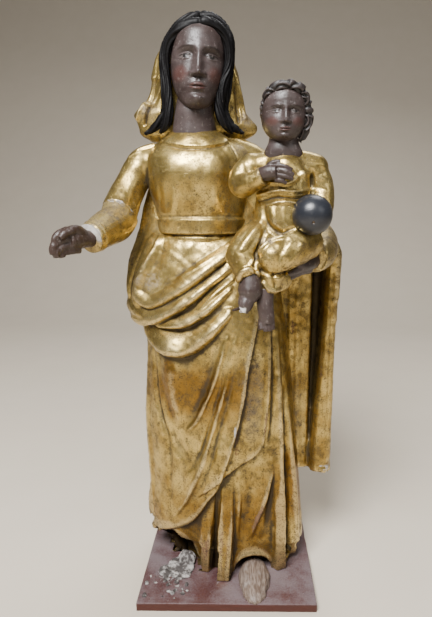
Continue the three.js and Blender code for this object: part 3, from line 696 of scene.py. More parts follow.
chest = column("chest", BODICE_LEVELS, 160, 80, 0.3)
sleeve = rod([(-52, 6, 318), (-64, 5, 313), (-72.5, 1.5, 299), (-78, -6, 285), (-81, -18, 271)],
             [11.5, 12, 11.8, 12.8, 13.4])
sleeve = fused("sleeve", [sleeve, ball((-58, 6, 314), (15, 14, 12.5))], 0.9, 4)
sawn(sleeve, SEAM, False)
bodice = fused("mother_bodice", [chest, sleeve], 0.9, 5)
carve(bodice, [
    ([(-66, 322), (-55, 325.5), (-48, 328), (-44, 332)], 1.4, -1.2),
    ("edge", [(-70, 319), (-60, 323.5), (-48, 327.5), (-43, 333)], 8, 0.9),
    ([(-2, 327), (3, 319), (6, 310)], 1.4, -1.2),
    ("edge", [(8, 306), (4, 317), (-3, 327.5)], 8, 0.8),
    ([(-50, 304), (-49, 290), (-48, 279)], 4, [0, -0.8, 0]),
    ([(-36, 300), (-39, 288), (-42, 277)], 4, [0, 0.6, 0]),
    ([(-24, 298), (-24, 287), (-25, 277)], 3.5, [0, 0.5, 0]),
    ([(-12, 300), (-9, 288), (-6, 277)], 4, [0, 0.6, 0]),
    ([(-38, 322), (-39, 306), (-38, 288)], 13, [0, 1, 0]),
    ([(-10, 322), (-9, 306), (-10, 288)], 13, [0, 1, 0]),
    ([(-66, 308), (-71, 296), (-78, 288)], 5, [0, 0.6, 0]),
    ([(-63, 302), (-67, 290), (-70, 280)], 5, [0, -0.8, 0]),
])
trunk = points_of(bodice)
out = normals_of(bodice)
ahead = rise(-out[:, 1], -0.2, 0.3) * (trunk[:, 0] > -52)
belt = rise(trunk[:, 2], 263.2, 264.4) * (1 - rise(trunk[:, 2], 274, 275.2))
dip = 321.7 + 0.008 * (trunk[:, 0] + 23) ** 2
within = 1 - rise(np.abs(trunk[:, 0] + 24), 21, 23.5)
band = rise(trunk[:, 2], dip - 0.5, dip + 0.6) * within
incised = np.exp(-(((trunk[:, 2] - dip + 0.8) / 0.65) ** 2)) * within
under_belt = np.exp(-(((trunk[:, 2] - 262.6) / 0.9) ** 2))
over_belt = np.exp(-(((trunk[:, 2] - 276.2) / 1.2) ** 2))
lift = 1.7 * belt + 1.2 * band - 1.2 * incised - 1.5 * under_belt - 0.6 * over_belt
trunk += out * (lift * ahead + 0.10 * wander(trunk, 3, 31) + 0.12 * wander(trunk, 8, 32))[:, None]
move_to(bodice, trunk)

# Painted shadow in the armpit and on the chest behind the child's right arm, laid on through the hollow
# mark.
armpit_shadow = zone(trunk, ((-58.5, -4, 298), (3.5, 18, 18)), ((15, -14, 292), (7, 20, 26)))
mark(bodice, "hollow", hollows(bodice, 28) / HOLLOW_SPAN + 0.7 * armpit_shadow)
# The worn_and_shade patch on the inner side of the sleeve beside the chest is painted shade; the others are
# grey wear on the collar, shoulder and sleeve.
mark(bodice, "worn_and_shade", 0.9 * zone(
    trunk, ((6, -8, 320), (16, 16, 14)), ((-70, 10, 318), (12, 14, 14)), ((-78, 6, 298), (9, 12, 16)),
    ((-60, -8, 292), (5, 14, 22))))
# Painted shade under the bust and under the front of the sleeve, through the amber_and_shade mark.
mark(bodice, "amber_and_shade", 0.3 * zone(trunk, ((-20, -20, 284), (40, 20, 9)), ((-66, -12, 280), (8, 12, 12))))
seam_run = np.array(SEAM["run"]) / np.linalg.norm(SEAM["run"])
from_seam = (np.array(SEAM["place"]) - trunk) @ seam_run
ragged = 0.8 + 1.6 * wander(trunk, 3.5, 33)
upper_side = rise(trunk[:, 2], 276, 284)
at_seam = (1 - rise(from_seam, ragged - 1.2, ragged + 1.2)) * (trunk[:, 0] < -60)
mark(bodice, "bare", 0.55 * at_seam * upper_side)
hand_over(bodice, "figure", gilt)


# Cloak over the left arm: it covers the shoulder and elbow and falls in a flat panel, a deep pleat and a
# rolled outer edge whose foot is chipped to the wood. Carved with the figure and gilded.

FALL_FOOT = 77.0
PLEAT = [(34, 8), (46, 8.5), (57, 9), (61, 10), (62.2, 13), (62.8, 20), (66, 21), (68.6, 19), (69.6, 12),
         (70.4, 6), (72.6, 2), (75.5, 0.8), (78.4, 2.6), (79.6, 7), (79.2, 13), (76, 20), (69, 24),
         (57, 26), (34, 27.5)]


def fall_outline(u, v):
    plan = bent(PLEAT + PLEAT[:1], 8)
    at = np.linspace(0, 1, len(plan))
    z = FALL_FOOT + v * (250 - FALL_FOOT)
    x, y = np.interp(u, at, plan[:, 0]), np.interp(u, at, plan[:, 1])
    closing = np.interp(z, [77, 120, 180, 250], [-7, -5.4, -1.5, 1.0])
    x = x + closing * np.exp(-(((x - 70.5) / 4) ** 2)) * (y < 20)
    return np.stack([x, y - 1.5 * rise(z, 225, 250), z], axis=1)


panel = rolled("panel", 200, 150, fall_outline)
shoulder = column("shoulder_cloth", [
    (238, 52, 17, 24, 77, 11, 26),
    (250, 50, 16, 20, 79, 9, 26),
    (262, 45, 14, 12, 75.5, 3, 27),
    (282, 35, 12, 2, 65, -3, 28),
    (300, 24, 12, -8, 54, -3, 28),
    (316, 10, 10, -16, 36, -4, 25),
    (326, -2, 8, -22, 19, -4, 20),
    (331, -8, 8, -24, 8, -2, 16),
], 120, 70)
rim = rod([(76.4, 4.5, 214), (76.4, 3.5, 240), (75, 2, 252), (70, 0, 259.5), (60, -2, 263)],
          [3.2, 3.5, 3.6, 3.6, 3])
fall = fused("mother_cloak_fall", [panel, shoulder, rim], 1.0, 3)
carve(fall, [
    ([(42, 235), (43, 150), (45, 80)], 3.5, -1.2),
    ([(51, 238), (52, 150), (54, 80)], 4, 1.1),
    ([(75, 236), (75.5, 150), (74, 84)], 1.6, -0.9),
    ([(4, 318), (8, 280), (2, 252), (4, 200)], 5, [0.5, 2, 2, 1], "right"),
    ([(14, 318), (15, 280), (12, 250), (12, 120)], 5, [-0.5, -2, -2, -1], "right"),
    ([(6, 322), (30, 290), (58, 256), (66, 160), (67, 82)], 6, [0.5, 2.2, 2.2, 2, 1], "back"),
    ([(2, 312), (22, 276), (44, 244), (52, 150), (53, 82)], 6, [-0.5, -2.2, -2.4, -2, -1], "back"),
    ([(14, 280), (30, 250), (40, 160), (42, 82)], 6, [0.5, 2, 2, 1], "back"),
])
hang = points_of(fall)
out = normals_of(fall)
chip = rise(wander(hang, 6, 41), 0.1, 0.5) * (1 - rise(hang[:, 2], 78, 92)) * rise(hang[:, 0], 66, 72)
hang += out * (-1.6 * chip + 0.10 * wander(hang, 3, 42) + 0.14 * wander(hang, 9, 43))[:, None]
hang[:, 2] += 5 * chip * (1 - rise(hang[:, 2], 76, 84))
move_to(fall, hang)
# Painted shade inside the deep pleat, except on faces turned to the back, added to the hollow mark.
depth = 0.6 * rise(hang[:, 1], 9, 15) * rise(hang[:, 0], 61, 62.5) * (1 - rise(hang[:, 0], 70, 73))
mark(fall, "hollow", hollows(fall, 26) / HOLLOW_SPAN + depth * (out[:, 1] < 0.3))
# The cloak fall is warmer and darker below about 225 mm.
mark(fall, "amber_and_shade", 0.42 * (1 - rise(hang[:, 2], 225, 255)))
mark(fall, "worn_and_shade", 0.7 * zone(hang, ((52, 20, 290), (60, 30, 50)), ((50, 8, 120), (16, 5, 60))))
inside = zone(hang, ((66, 14, 150), (6, 9, 140)), ((67, 10, 246), (8, 10, 16)))
red_rim = zone(hang, ((70, 6, 150), (3, 7, 70)), ((48, 8, 192), (4, 6, 9)))
mark(fall, "bole", np.maximum(0.5 * inside, 0.9 * red_rim))
mark(fall, "bare", np.maximum(0.66 * chip, 0.5 * zone(hang, ((76, 2, 78), (6, 8, 6)))))
hand_over(fall, "figure", gilt)


# Head and neck: carved with the figure, coated with gesso and painted a flesh colour that has turned
# grey and mauve. Eyes, brows and lips are painted. The face is a plain, calm one.

HEAD_LEVELS = [
    (347.6, 0, -15, -3.2, 3.2, -19.0, -10),
    (349.0, 0, -14, -6.9, 6.9, -22.4, -5),
    (352.0, 0, -11, -10.2, 10.2, -23.8, 1),
    (357.0, 0, -6, -13.4, 13.4, -24.0, 8),
    (363.0, 0, -3, -16.1, 16.1, -23.8, 13),
    (370.0, 0, -1, -18.2, 18.2, -23.6, 18),
    (378.0, 0, 0, -19.3, 19.3, -23.4, 21),
    (387.0, 0, 0, -19.5, 19.5, -23.6, 22),
    (396.0, 0, 0, -18.4, 18.4, -21.6, 21),
    (402.0, 0, 0, -15.5, 15.5, -17.4, 18),
    (405.6, 0, 0, -11.0, 11.0, -12.0, 13),
    (407.6, 0, 0, -5.3, 5.3, -5.6, 6),
]
HEAD = {"middle": (-23.6, 0, 375), "eyes": 379.5, "turn": 6.5, "tilt": 3.5, "size": (1.05, 0.94, 0.95)}


def face(x, z):
    """How far a plain face stands forward of an egg, in mm. x is from its middle, z from its eye line, for a
    face 32 mm from eye line to chin: the nose ends at 13, the lips meet at 20 below the eyes."""

    def bump(x0, z0, wide, tall, at=x):
        return np.exp(-(((at - x0) / wide) ** 2) - ((z - z0) / tall) ** 2)

    away = np.abs(x)
    eye = np.exp(-(((away - 8.5) / 4.3) ** 4))
    lid = 1.5 - 0.060 * (away - 8.3) ** 2
    under_lid = -1.7 + 0.035 * (away - 8.3) ** 2
    bridge = np.interp(z, [-14, -11, 0, 5, 12], [5.0, 5.0, 2.4, 1.3, 0.0])
    nose_width = np.interp(z, [-14, -6, 2], [3.0, 3.0, 3.4])
    bow = 0.018 * x**2
    brow = 0.9 * np.exp(-(((z - 6.4 + 0.035 * (away - 8) ** 2) / 2.2) ** 2))
    relief = brow * np.exp(-(((away - 8.5) / 5.5) ** 2))
    relief += -3.1 * bump(8.4, 0.4, 5.8, 3.5, away) - 1.3 * bump(4.1, 1.4, 2.0, 3.4, away)
    relief += 2.5 * bump(8.5, -0.1, 3.7, 2.4, away)
    crease = 0.55 * eye * np.exp(-(((z - lid - 1.7) / 0.6) ** 2))
    relief += 0.55 * eye * np.exp(-(((z - lid) / 0.5) ** 2)) - crease
    relief += 0.40 * eye * np.exp(-(((z - under_lid) / 0.5) ** 2))
    relief += bridge * np.exp(-((x / nose_width) ** 2)) * rise(z, -14.6, -12.6)
    relief += 1.2 * bump(0, -11.2, 2.8, 2.2) + 1.7 * bump(3.6, -12.2, 1.7, 1.6, away)
    relief += -0.9 * bump(1.7, -14.0, 1.0, 0.6, away) + 1.7 * bump(0, -19.5, 8, 6)
    relief += -0.4 * bump(0, -16.8, 0.9, 1.6)
    relief += 1.15 * np.exp(-(((z + 19.0 + 0.03 * x**2) / 1.0) ** 2)) * np.exp(-((x / 4.8) ** 4))
    relief += -1.1 * np.exp(-(((z + 20.5 - 0.5 * bow) / 0.5) ** 2)) * np.exp(-((x / 5.6) ** 6))
    relief += 1.35 * np.exp(-(((z + 22.0 - bow) / 1.15) ** 2)) * np.exp(-((x / 4.0) ** 4))
    relief += -0.9 * bump(0, -24.7, 5, 1.4) + 2.2 * bump(0, -28.4, 5, 3.6)
    relief += 1.5 * bump(11, -10.5, 6, 6, away) - 0.8 * bump(15.5, 7, 3.5, 6, away)
    return relief


def flesh_paint(name, drawn=False, brown=0.0):
    """Aged flesh paint, browned by that share, with eyes, brows and lips drawn on where a face is marked."""
    skin = Finish(name)
    hollow, bare = skin.mark("hollow"), skin.mark("bare")
    cloud = skin.noise(11, 4, 0.6)
    fine = skin.noise(1.6, 5, 0.7)
    flake = skin.between(skin.noise(2.2, 5, 0.75), 0.575, 0.65)
    spots = skin.between(skin.noise(0.9, 3, 0.6), 0.58, 0.68)
    colour = skin.blend(skin.between(cloud, 0.3, 0.7), (0.030, 0.019, 0.017), (0.064, 0.047, 0.045))
    colour = skin.blend(brown, colour, (0.034, 0.017, 0.011)) if brown else colour
    # shade_and_grime darkens the hollows of the paint: painted shade, with some grime.
    shade_and_grime = skin.between(hollow + 0.5 * (fine - 0.5), 0.1, 0.9)
    if drawn:
        x, z, front = [skin.mark(m) for m in ("face_x", "face_z", "face_front")]

        def size_of(value):
            return skin.node("ShaderNodeMath", {"operation": "ABSOLUTE"}, {0: value})

        def spot(across, up, wide, tall, inner=0.75, outer=1.15):
            a, b = across * (1 / wide), (z - up) * (1 / tall)
            return skin.between(a * a + b * b, outer, inner) * front

        away = size_of(x)
        arch = (away - 8.3) * (away - 8.3)
        cheek = spot(away - 11.5, -11.5, 6.0, 6.0, 0.0, 1.3)
        colour = skin.blend(0.32 * cheek, colour, (0.125, 0.036, 0.027))
        white = spot(away - 8.5, -0.1, 3.7, 1.35)
        colour = skin.blend(0.5 * white, colour, (0.10, 0.086, 0.078))
        colour = skin.blend(spot(away - 8.3, 0.1, 1.75, 1.6) * white, colour, (0.008, 0.006, 0.005))
        lash = skin.between(size_of(z - 1.45 + 0.06 * arch), 0.55, 0.2) * skin.between(arch, 20, 15) * front
        colour = skin.blend(0.9 * lash, colour, (0.010, 0.007, 0.006))
        brow = skin.between(size_of(z - 6.2 + 0.045 * arch), 0.85, 0.25)
        brow = brow * skin.between(arch, 34, 20) * front
        colour = skin.blend(0.75 * brow, colour, (0.018, 0.012, 0.010))
        colour = skin.blend(0.6 * spot(x, -20.4, 5.0, 2.5), colour, (0.075, 0.024, 0.019))
    colour = skin.blend(0.85 * shade_and_grime, colour, (0.014, 0.009, 0.007))
    colour = skin.blend(0.45 * flake, colour, (0.22, 0.185, 0.17))
    colour = skin.blend(0.7 * spots, colour, (0.018, 0.012, 0.010))
    white = skin.between(bare + 0.6 * (fine - 0.5), 0.42, 0.58)
    colour = skin.blend(white, colour, skin.blend(fine, (0.40, 0.37, 0.35), (0.74, 0.72, 0.70)))
    relief = 0.7 * fine + 0.5 * flake - 0.5 * spots + 0.6 * white
    return skin.finish(colour, 0.24 + 0.28 * fine + 0.25 * shade_and_grime + 0.3 * white, 0.0, relief, 0.15)


def head(name, levels, pose, columns, rows):
    """A head on oval levels about its middle line, with the plain face on its front, turned and tilted."""
    wide, tall, deep = pose["size"]
    piece = column(name, levels, columns, rows, 0.5)
    egg = points_of(piece)
    face_x, face_z = egg[:, 0] / wide, (egg[:, 2] - pose["eyes"]) / tall
    front = rise(-egg[:, 1], 2 * deep, 13 * deep)
    egg[:, 1] -= deep * face(face_x, face_z) * front
    mark(piece, "face_x", face_x)
    mark(piece, "face_z", face_z)
    mark(piece, "face_front", front)
    turn, tilt = math.radians(pose["turn"]), math.radians(pose["tilt"])
    x, y, z = egg[:, 0], egg[:, 1], egg[:, 2] - pose["middle"][2]
    x, y = x * math.cos(turn) - y * math.sin(turn), x * math.sin(turn) + y * math.cos(turn)
    x, z = x * math.cos(tilt) + z * math.sin(tilt), z * math.cos(tilt) - x * math.sin(tilt)
    move_to(piece, np.stack([x, y, z], axis=1) + np.array(pose["middle"]))
    return piece


mother_head = head("mother_head", HEAD_LEVELS, HEAD, 205, 165)
flesh = points_of(mother_head)
mark(mother_head, "hollow", hollows(mother_head, 14) / FLESH_SPAN)
mark(mother_head, "bare", 0.38 * zone(flesh, ((-20, -24, 353), (7, 6, 5)), ((-28, -22, 394), (3, 4, 3))))
hand_over(mother_head, "figure", flesh_paint("mother_flesh", drawn=True))


def roughened(piece, *waves):
    """Moves a surface in and out by random waves, each an amount, size and seed, and gives its points."""
    points = points_of(piece)
    shift = sum(amount * wander(points, size, seed) for amount, size, seed in waves)
    points += normals_of(piece) * shift[:, None]
    move_to(piece, points)
    return points


neck = column("mother_neck", [
    (318, -26.5, 0, -44, -9, -14, 14),
    (328, -26.3, -2, -42.5, -10, -15.5, 12),
    (338, -26.0, -3, -41, -10.8, -16, 11),
    (348, -25.5, -3, -39.4, -12, -16.5, 11),
    (358, -24, -3, -37, -12, -14, 10),
], 110, 60)
roughened(neck, (0.15, 5, 45))
mark(neck, "hollow", hollows(neck, 14) / FLESH_SPAN)
hand_over(neck, "figure", flesh_paint("neck_flesh"))


# Hair: long waves from a middle parting down to the shoulders, gouge cut in strands and painted black,
# with a painted blue-grey sheen on the crests of the strands. Carved with the head.

LOCKS = [  # each lock runs from its left tip over the parting to its right tip: path, then radii
    ([(-50, -6, 333.4), (-46, -8, 337.4), (-43.8, -9, 342.5), (-43.0, -9, 350), (-43.8, -9, 361),
      (-44.8, -9, 374), (-44.0, -10, 384.5), (-40.0, -12, 393.5), (-31.5, -15.4, 399.6),
      (-21, -16.4, 401.4), (-11.5, -15.4, 400.4), (-4.2, -12, 393.4), (-1.8, -10, 384), (-2.6, -9, 374),
      (-6.6, -9, 361), (-8, -9, 350), (-6.4, -9, 342), (-3, -8, 337), (1.4, -6, 333)],
     [1.2, 2.6, 3.2, 3.2, 3.1, 2.9, 3.1, 3.4, 3.6, 3.7, 3.5, 3.1, 2.9, 2.9, 3.4, 3.4, 3.2, 2.6, 1.2]),
    ([(-61.5, -3, 333.2), (-55.5, -3.5, 336.6), (-50, -4, 341.4), (-46.4, -4, 349), (-46, -4, 360),
      (-46.6, -4, 374), (-46.2, -5, 386), (-41, -7, 396), (-31, -8.5, 405), (-21, -9, 407.6),
      (-10.5, -8.5, 405.3), (-2.2, -7, 395.5), (-0.4, -5, 384), (-1.4, -4, 374), (-3.2, -4, 361),
      (-5, -4, 349.5), (-2, -4, 341), (3, -3.5, 336.4), (9, -3, 333)],
     [1.2, 2.6, 3.3, 3.2, 3.2, 3.1, 3.3, 3.6, 3.6, 3.5, 3.4, 3.3, 2.9, 2.9, 3.4, 3.3, 3.3, 2.6, 1.2]),
]
CROWN = {"centre": (-22.3, 8, 385), "radii": (23, 20, 25)}
PARTING_X = -20.5
STRAND_CUT = 0.42  # mm
LOCK_REACH = 12  # mm from a lock within which its strands run

locks = [rod(*lock) for lock in LOCKS]
hair = fused("mother_hair", [ball(CROWN["centre"], CROWN["radii"]), *locks], 0.64, 3)
strands = points_of(hair)
out = normals_of(hair)
nearest = np.full(len(strands), 1e9)
phase = np.zeros(len(strands))
for path, _ in LOCKS:
    curve = bent(path, 8)
    near, far, _, share = beside(curve, strands, out, LOCK_REACH)
    closer = far < nearest[near]
    spot = np.stack([np.interp(share, np.linspace(0, 1, len(curve)), curve[:, k]) for k in range(3)],
                    axis=1)
    off = strands[near] - spot
    around = np.arctan2(off[:, 1], off[:, 0]) * 9 + 2.2 * np.sin(share * 26 + off[:, 1] * 0.2)
    index = np.flatnonzero(near)[closer]
    phase[index] = around[closer]
    nearest[index] = far[closer]
crown = (strands - np.array(CROWN["centre"])) / np.array(CROWN["radii"])
sweep = np.arctan2(crown[:, 2], -crown[:, 1]) * 30 + 2.0 * np.sin(crown[:, 0] * 6)
on_lock = 1 - rise(nearest, 5, 7)
wave = np.cos(phase) * on_lock + np.cos(sweep) * (1 - on_lock)
parting = np.exp(-(((strands[:, 0] - PARTING_X) / 1.0) ** 2)) * rise(strands[:, 2], 392, 400)
strands += out * (STRAND_CUT * wave - 0.2 - 0.7 * parting)[:, None]
move_to(hair, strands)
mark(hair, "hollow", hollows(hair, 6) / FLESH_SPAN)

black = Finish("black_hair")
hollow = black.mark("hollow")
fine = black.noise(1.5, 4, 0.65)
cloud = black.noise(9, 3, 0.6)
# crest_highlight lays a painted blue-grey sheen on the crests of the strands.
crest_highlight = black.between(0.6 * (fine - 0.5) - hollow, -0.1, 0.8)
colour = black.blend(cloud, (0.0010, 0.0008, 0.0009), (0.0026, 0.0021, 0.0023))
colour = black.blend(0.4 * crest_highlight, colour, (0.008, 0.0072, 0.009))
colour = black.blend(0.4 * black.between(fine, 0.66, 0.76), colour, (0.07, 0.055, 0.05))
black.shader.inputs["Specular IOR Level"].default_value = 0.16
black.finish(colour, 0.38 + 0.24 * fine, 0.0, fine, 0.14)
hand_over(hair, "figure", black.material)


# Veil: a gilded cloth that lies on the back of the head and flares in waves on to the shoulders, its
# lower edges rolled. Carved with the figure.

VEIL_LEVELS = [
    (330, -26, 13, -59, 8, 5, 27),
    (335, -26, 13, -67, 17, 3, 29),
    (340, -26, 12.5, -68.5, 18.5, 2, 31),
    (344.5, -26, 12, -70, 14.5, 2, 31.5),
    (348.5, -26, 12, -72, 11, 1, 32),
    (352.5, -26, 12, -69.5, 9, 1, 32.5),
    (358.5, -25.5, 12, -62.5, 8, 0, 33),
    (366, -25.5, 11.5, -58.8, 6.6, -1, 33.5),
    (376, -25.5, 11, -57.2, 4.4, -2, 34),
    (388, -25, 11, -54.5, 0, 0, 33),
    (398, -25, 11, -47.5, -3.5, 1, 31),
    (406, -24.5, 11, -41, -8.5, 2.5, 26),
    (411, -24, 11, -34.5, -14.5, 4, 20),
    (414, -24, 11, -28, -20, 7, 15),
]
veil = column("mother_veil", VEIL_LEVELS, 220, 135)
carve(veil, [
    ([(-69, 346), (-61, 362), (-54, 386)], 2.6, [1.6, 1.6, 0.4]),
    ([(-63, 342), (-57, 362), (-52, 384)], 2.4, [-2.4, -1.8, -0.4]),
    ([(10, 345), (6, 362), (0, 384)], 2.4, [1.2, 1.4, 0.4]),
    ([(5, 343), (3, 362), (-1, 380)], 2.2, [-2, -1.4, -0.4]),
] + [
    ([(top, 395), (low, 333)], 4.5, [0.2, height], "back")
    for top, low, height in ((-40, -60, 1.8), (-36, -50, -2), (-32, -40, 1.8), (-28, -30, -2),
                             (-24, -20, 1.8), (-19, -10, -2), (-14, 0, 1.8), (-8, 9, -1.8))
])
drape = roughened(veil, (0.10, 3, 51), (0.15, 8, 52))
mark(veil, "hollow", hollows(veil, 30) / HOLLOW_SPAN)
mark(veil, "amber_and_shade", 0.2)
mark(veil, "worn_and_shade", 0.9 * zone(drape, ((-24, 12, 410), (24, 24, 14)), ((-60, 4, 352), (12, 12, 18)),
                              ((12, 4, 345), (12, 12, 14)), ((-24, 30, 372), (30, 12, 40))))
mark(veil, "bole", 0.75 * zone(drape, ((15, 4, 338), (6, 8, 5)), ((-60, 2, 338), (8, 8, 5))))
hand_over(veil, "figure", gilt)


# Left hand and feet: the left hand bears the child from below, and the bare left foot has lost its paint and
# shows the wood. Of the right foot only a gesso crust and a splintered stump are left.

SLEEVE_END = ([(66, 10, 262), (65.5, -10, 257), (61, -28, 251.5), (55, -38, 249.5)], [10.5, 10.5, 11, 10.6])
LEFT_FINGERS = [
    ([(56, -36, 248), (51, -44, 246), (46.5, -49, 245.2), (42.5, -51.5, 245.5)], [6, 5, 4.4, 3.2]),
    ([(52, -43, 245), (46.5, -50, 243.5), (41.5, -53, 241.5), (37.5, -54, 239.8)], [4, 2.8, 2.2, 1.7]),
    ([(52, -42, 243), (46, -49, 241), (40, -52, 238), (36, -53.5, 236.2), (32.4, -54, 234.8)],
     [4, 2.6, 2.1, 1.9, 1.6]),
]
left_sleeve = fused("mother_left_sleeve", [rod(*SLEEVE_END)], 0.75, 3)
carve(left_sleeve, [
    ([(58, 259), (59.5, 250), (58, 242)], 1.8, 0.9),
    ([(62, 260), (63.5, 251), (61, 243)], 1.8, -0.9),
])
mark(left_sleeve, "hollow", hollows(left_sleeve, 25) / HOLLOW_SPAN)
mark(left_sleeve, "worn_and_shade", 0.75)
hand_over(left_sleeve, "figure", gilt)

left_hand = fused("mother_left_hand", [rod(*finger) for finger in LEFT_FINGERS], 0.5, 4)
mark(left_hand, "hollow", hollows(left_hand, 12) / HAND_SPAN)
hand_over(left_hand, "figure", flesh_paint("left_hand_flesh"))

heel = ball((20, -32, 6.5), (11.6, 22, 9.6))
fore_foot = ball((19.8, -42, 6.5), (9.6, 16.4, 7))
foot = fused("mother_left_foot", [heel, fore_foot], 0.6, 8)
toes = points_of(foot)
out = normals_of(foot)
ridge = np.cos((toes[:, 0] - 20) * 1.7 + 0.8 * np.sin(toes[:, 1] * 0.35) + 0.5 * wander(toes, 9, 61))
toes += out * (0.28 * ridge * rise(-toes[:, 1], 20, 30) + 0.18 * wander(toes, 3, 62))[:, None]
toes[:, 2] = np.maximum(toes[:, 2], BOARD[2] - 0.1)
move_to(foot, toes)
mark(foot, "hollow", hollows(foot, 12) / HAND_SPAN)

bare_wood = Finish("bare_wood")
hollow, fine = bare_wood.mark("hollow"), bare_wood.noise(1.3, 5, 0.7)
along_grain = {"Vector": bare_wood.place, "Scale": (1.1, 0.09, 0.7)}
streak = bare_wood.noise(1.0, 3, 0.6, at=bare_wood.node("ShaderNodeMapping", None, along_grain))
cloud = bare_wood.noise(8, 3, 0.6)
colour = bare_wood.blend(bare_wood.between(streak, 0.35, 0.68), (0.105, 0.068, 0.048), (0.24, 0.185, 0.150))
colour = bare_wood.blend(0.6 * bare_wood.between(cloud, 0.5, 0.75), colour, (0.27, 0.235, 0.215))
# shade_and_grime darkens the hollows of the foot: painted shade, with some grime.
shade_and_grime = bare_wood.between(hollow + 0.5 * (fine - 0.5), 0.1, 0.8)
colour = bare_wood.blend(0.8 * shade_and_grime, colour, (0.035, 0.024, 0.018))
bare_wood.finish(colour, 0.62 + 0.2 * fine, 0.0, streak + 0.6 * fine, 0.22)
hand_over(foot, "figure", bare_wood.material)

draw = np.random.default_rng(5)
STUMP = [  # centre and radii of the stump and the crust round it
    ((-33, -14, 8), (7, 8, 7)),
    ((-32, -24, 6.5), (6, 7, 3.4)),
    ((-40, -20, 6.5), (7, 8, 2.6)),
    ((-46, -27, 6.5), (8, 7, 1.4)),
    ((-37, -31, 6.5), (7, 5, 1.6)),
]
CRUMBS = 34
stump_parts = [ball(*part) for part in STUMP]
for _ in range(CRUMBS):
    spot = (draw.uniform(-61, -28), draw.uniform(-56, -30), BOARD[2])
    stump_parts.append(ball(spot, draw.uniform(0.5, 1.5, 3) * (1.3, 1.3, 0.8)))
stump = fused("mother_foot_stump", stump_parts, 0.55, 2)
crust = roughened(stump, (0.6, 4, 63), (0.4, 1.8, 64))
crust[:, 2] = np.maximum(crust[:, 2], BOARD[2] - 0.1)
move_to(stump, crust)
mark(stump, "hollow", hollows(stump, 8) / HAND_SPAN)

gesso = Finish("broken_gesso")
hollow, fine = gesso.mark("hollow"), gesso.noise(1.2, 5, 0.7)
cloud = gesso.noise(6, 4, 0.65)
colour = gesso.blend(gesso.between(cloud, 0.44, 0.62), (0.055, 0.047, 0.044), (0.40, 0.375, 0.355))
# shade_and_grime darkens the hollows of the crust: painted shade, with some grime.
shade_and_grime = gesso.between(hollow + 0.5 * (fine - 0.5), 0.0, 0.6)
colour = gesso.blend(0.85 * shade_and_grime, colour, (0.05, 0.042, 0.038))
gesso.finish(colour, 0.8 + 0.1 * fine, 0.0, fine, 0.3)
hand_over(stump, "figure", gesso.material)


# Right forearm: a gilded sleeve piece glued on at the elbow, rubbed grey on top, with a broken ring of white
# gesso at the cuff where the hand is set in.

WRIST = {"place": (-91, -45, 261.5), "run": (-0.42, -0.86, -0.3)}
JOINT_GAP = 0.35
forearm = rod([(-78, -6, 285), (-80, -16, 272.5), (-84.5, -28, 268), (-90, -42, 262.5), (-93, -49, 260.5)],
              [13.2, 13.3, 12.4, 10.4, 10])
forearm = fused("right_forearm", [forearm], 0.7, 4)
sawn(forearm, SEAM, True, JOINT_GAP)
sawn(forearm, WRIST, False)
sleeve_end = points_of(forearm)
out = normals_of(forearm)
wrist_run = np.array(WRIST["run"]) / np.linalg.norm(WRIST["run"])
to_wrist = (np.array(WRIST["place"]) - sleeve_end) @ wrist_run
to_seam = (sleeve_end - np.array(SEAM["place"])) @ seam_run
ring_break = 1 - rise(to_wrist + 0.8 * wander(sleeve_end, 4, 71), 0.8, 2.2)
ring_break *= rise(sleeve_end[:, 2], 255, 261)
edge_break = 1 - rise(to_seam + 0.8 * wander(sleeve_end, 3, 72), 0.2, 1.0)
edge_break *= rise(sleeve_end[:, 2], 270, 281)
bead = np.exp(-(((to_wrist - 5.5) / 1.0) ** 2))
body = (to_wrist > 0.3) * (to_seam > 0.6)
lift = 0.5 * bead - 0.9 * ring_break - 0.5 * edge_break
sleeve_end += out * ((lift + 0.12 * wander(sleeve_end, 4, 73)) * body)[:, None]
move_to(forearm, sleeve_end)
mark(forearm, "hollow", hollows(forearm, 25) / HOLLOW_SPAN)
mark(forearm, "bare", 0.72 * np.maximum(ring_break, 0.8 * edge_break))
mark(forearm, "worn_and_shade", 0.95 * rise(out[:, 2], 0.0, 0.55))
# The underside of the forearm is darker and warmer as painted shade.
mark(forearm, "amber_and_shade", 0.2 * rise(-out[:, 2], -0.2, 0.5))
hand_over(forearm, "right_forearm", gilt)


# Right hand: carved on its own and set into the cuff. Its paint has gone dark brown and the half-curled
# fingers are worn and chipped at the tips.

HAND = [
    ([(-90, -43, 262), (-93.5, -49, 261.5), (-98.5, -55.5, 261.5), (-101.5, -59.5, 261)],
     [5.6, 5.8, 7, 6.2]),
    ([(-96, -54, 266.3), (-101.5, -61, 266.6), (-106, -65.5, 263.5), (-107, -66.5, 258.5)],
     [3.4, 3.0, 2.7, 2.3]),
    ([(-97, -56, 262), (-103, -62.5, 262), (-107.6, -66.5, 258), (-107.8, -67, 252.5)],
     [3.4, 3.0, 2.7, 2.3]),
    ([(-96.5, -55.5, 258), (-102, -62, 257.5), (-106.4, -66, 253.5), (-106.2, -66, 250.5)],
     [3.2, 2.8, 2.5, 2.1]),
    ([(-95.5, -54, 255.5), (-100, -59.5, 254.5), (-104, -63, 252.5), (-103.6, -63, 250.5)],
     [3.0, 2.6, 2.2, 1.9]),
    ([(-93, -51, 264.6), (-96, -58.5, 267.6), (-100.5, -64.5, 266), (-103.5, -67.5, 262.5)],
     [3.6, 3.2, 2.7, 2.1]),
]
hand = fused("right_hand", [rod(*finger) for finger in HAND], 0.5, 5)
sawn(hand, WRIST, True, JOINT_GAP)
knuckles = roughened(hand, (0.18, 3, 81), (0.10, 1.5, 82))
mark(hand, "hollow", hollows(hand, 12) / HAND_SPAN)
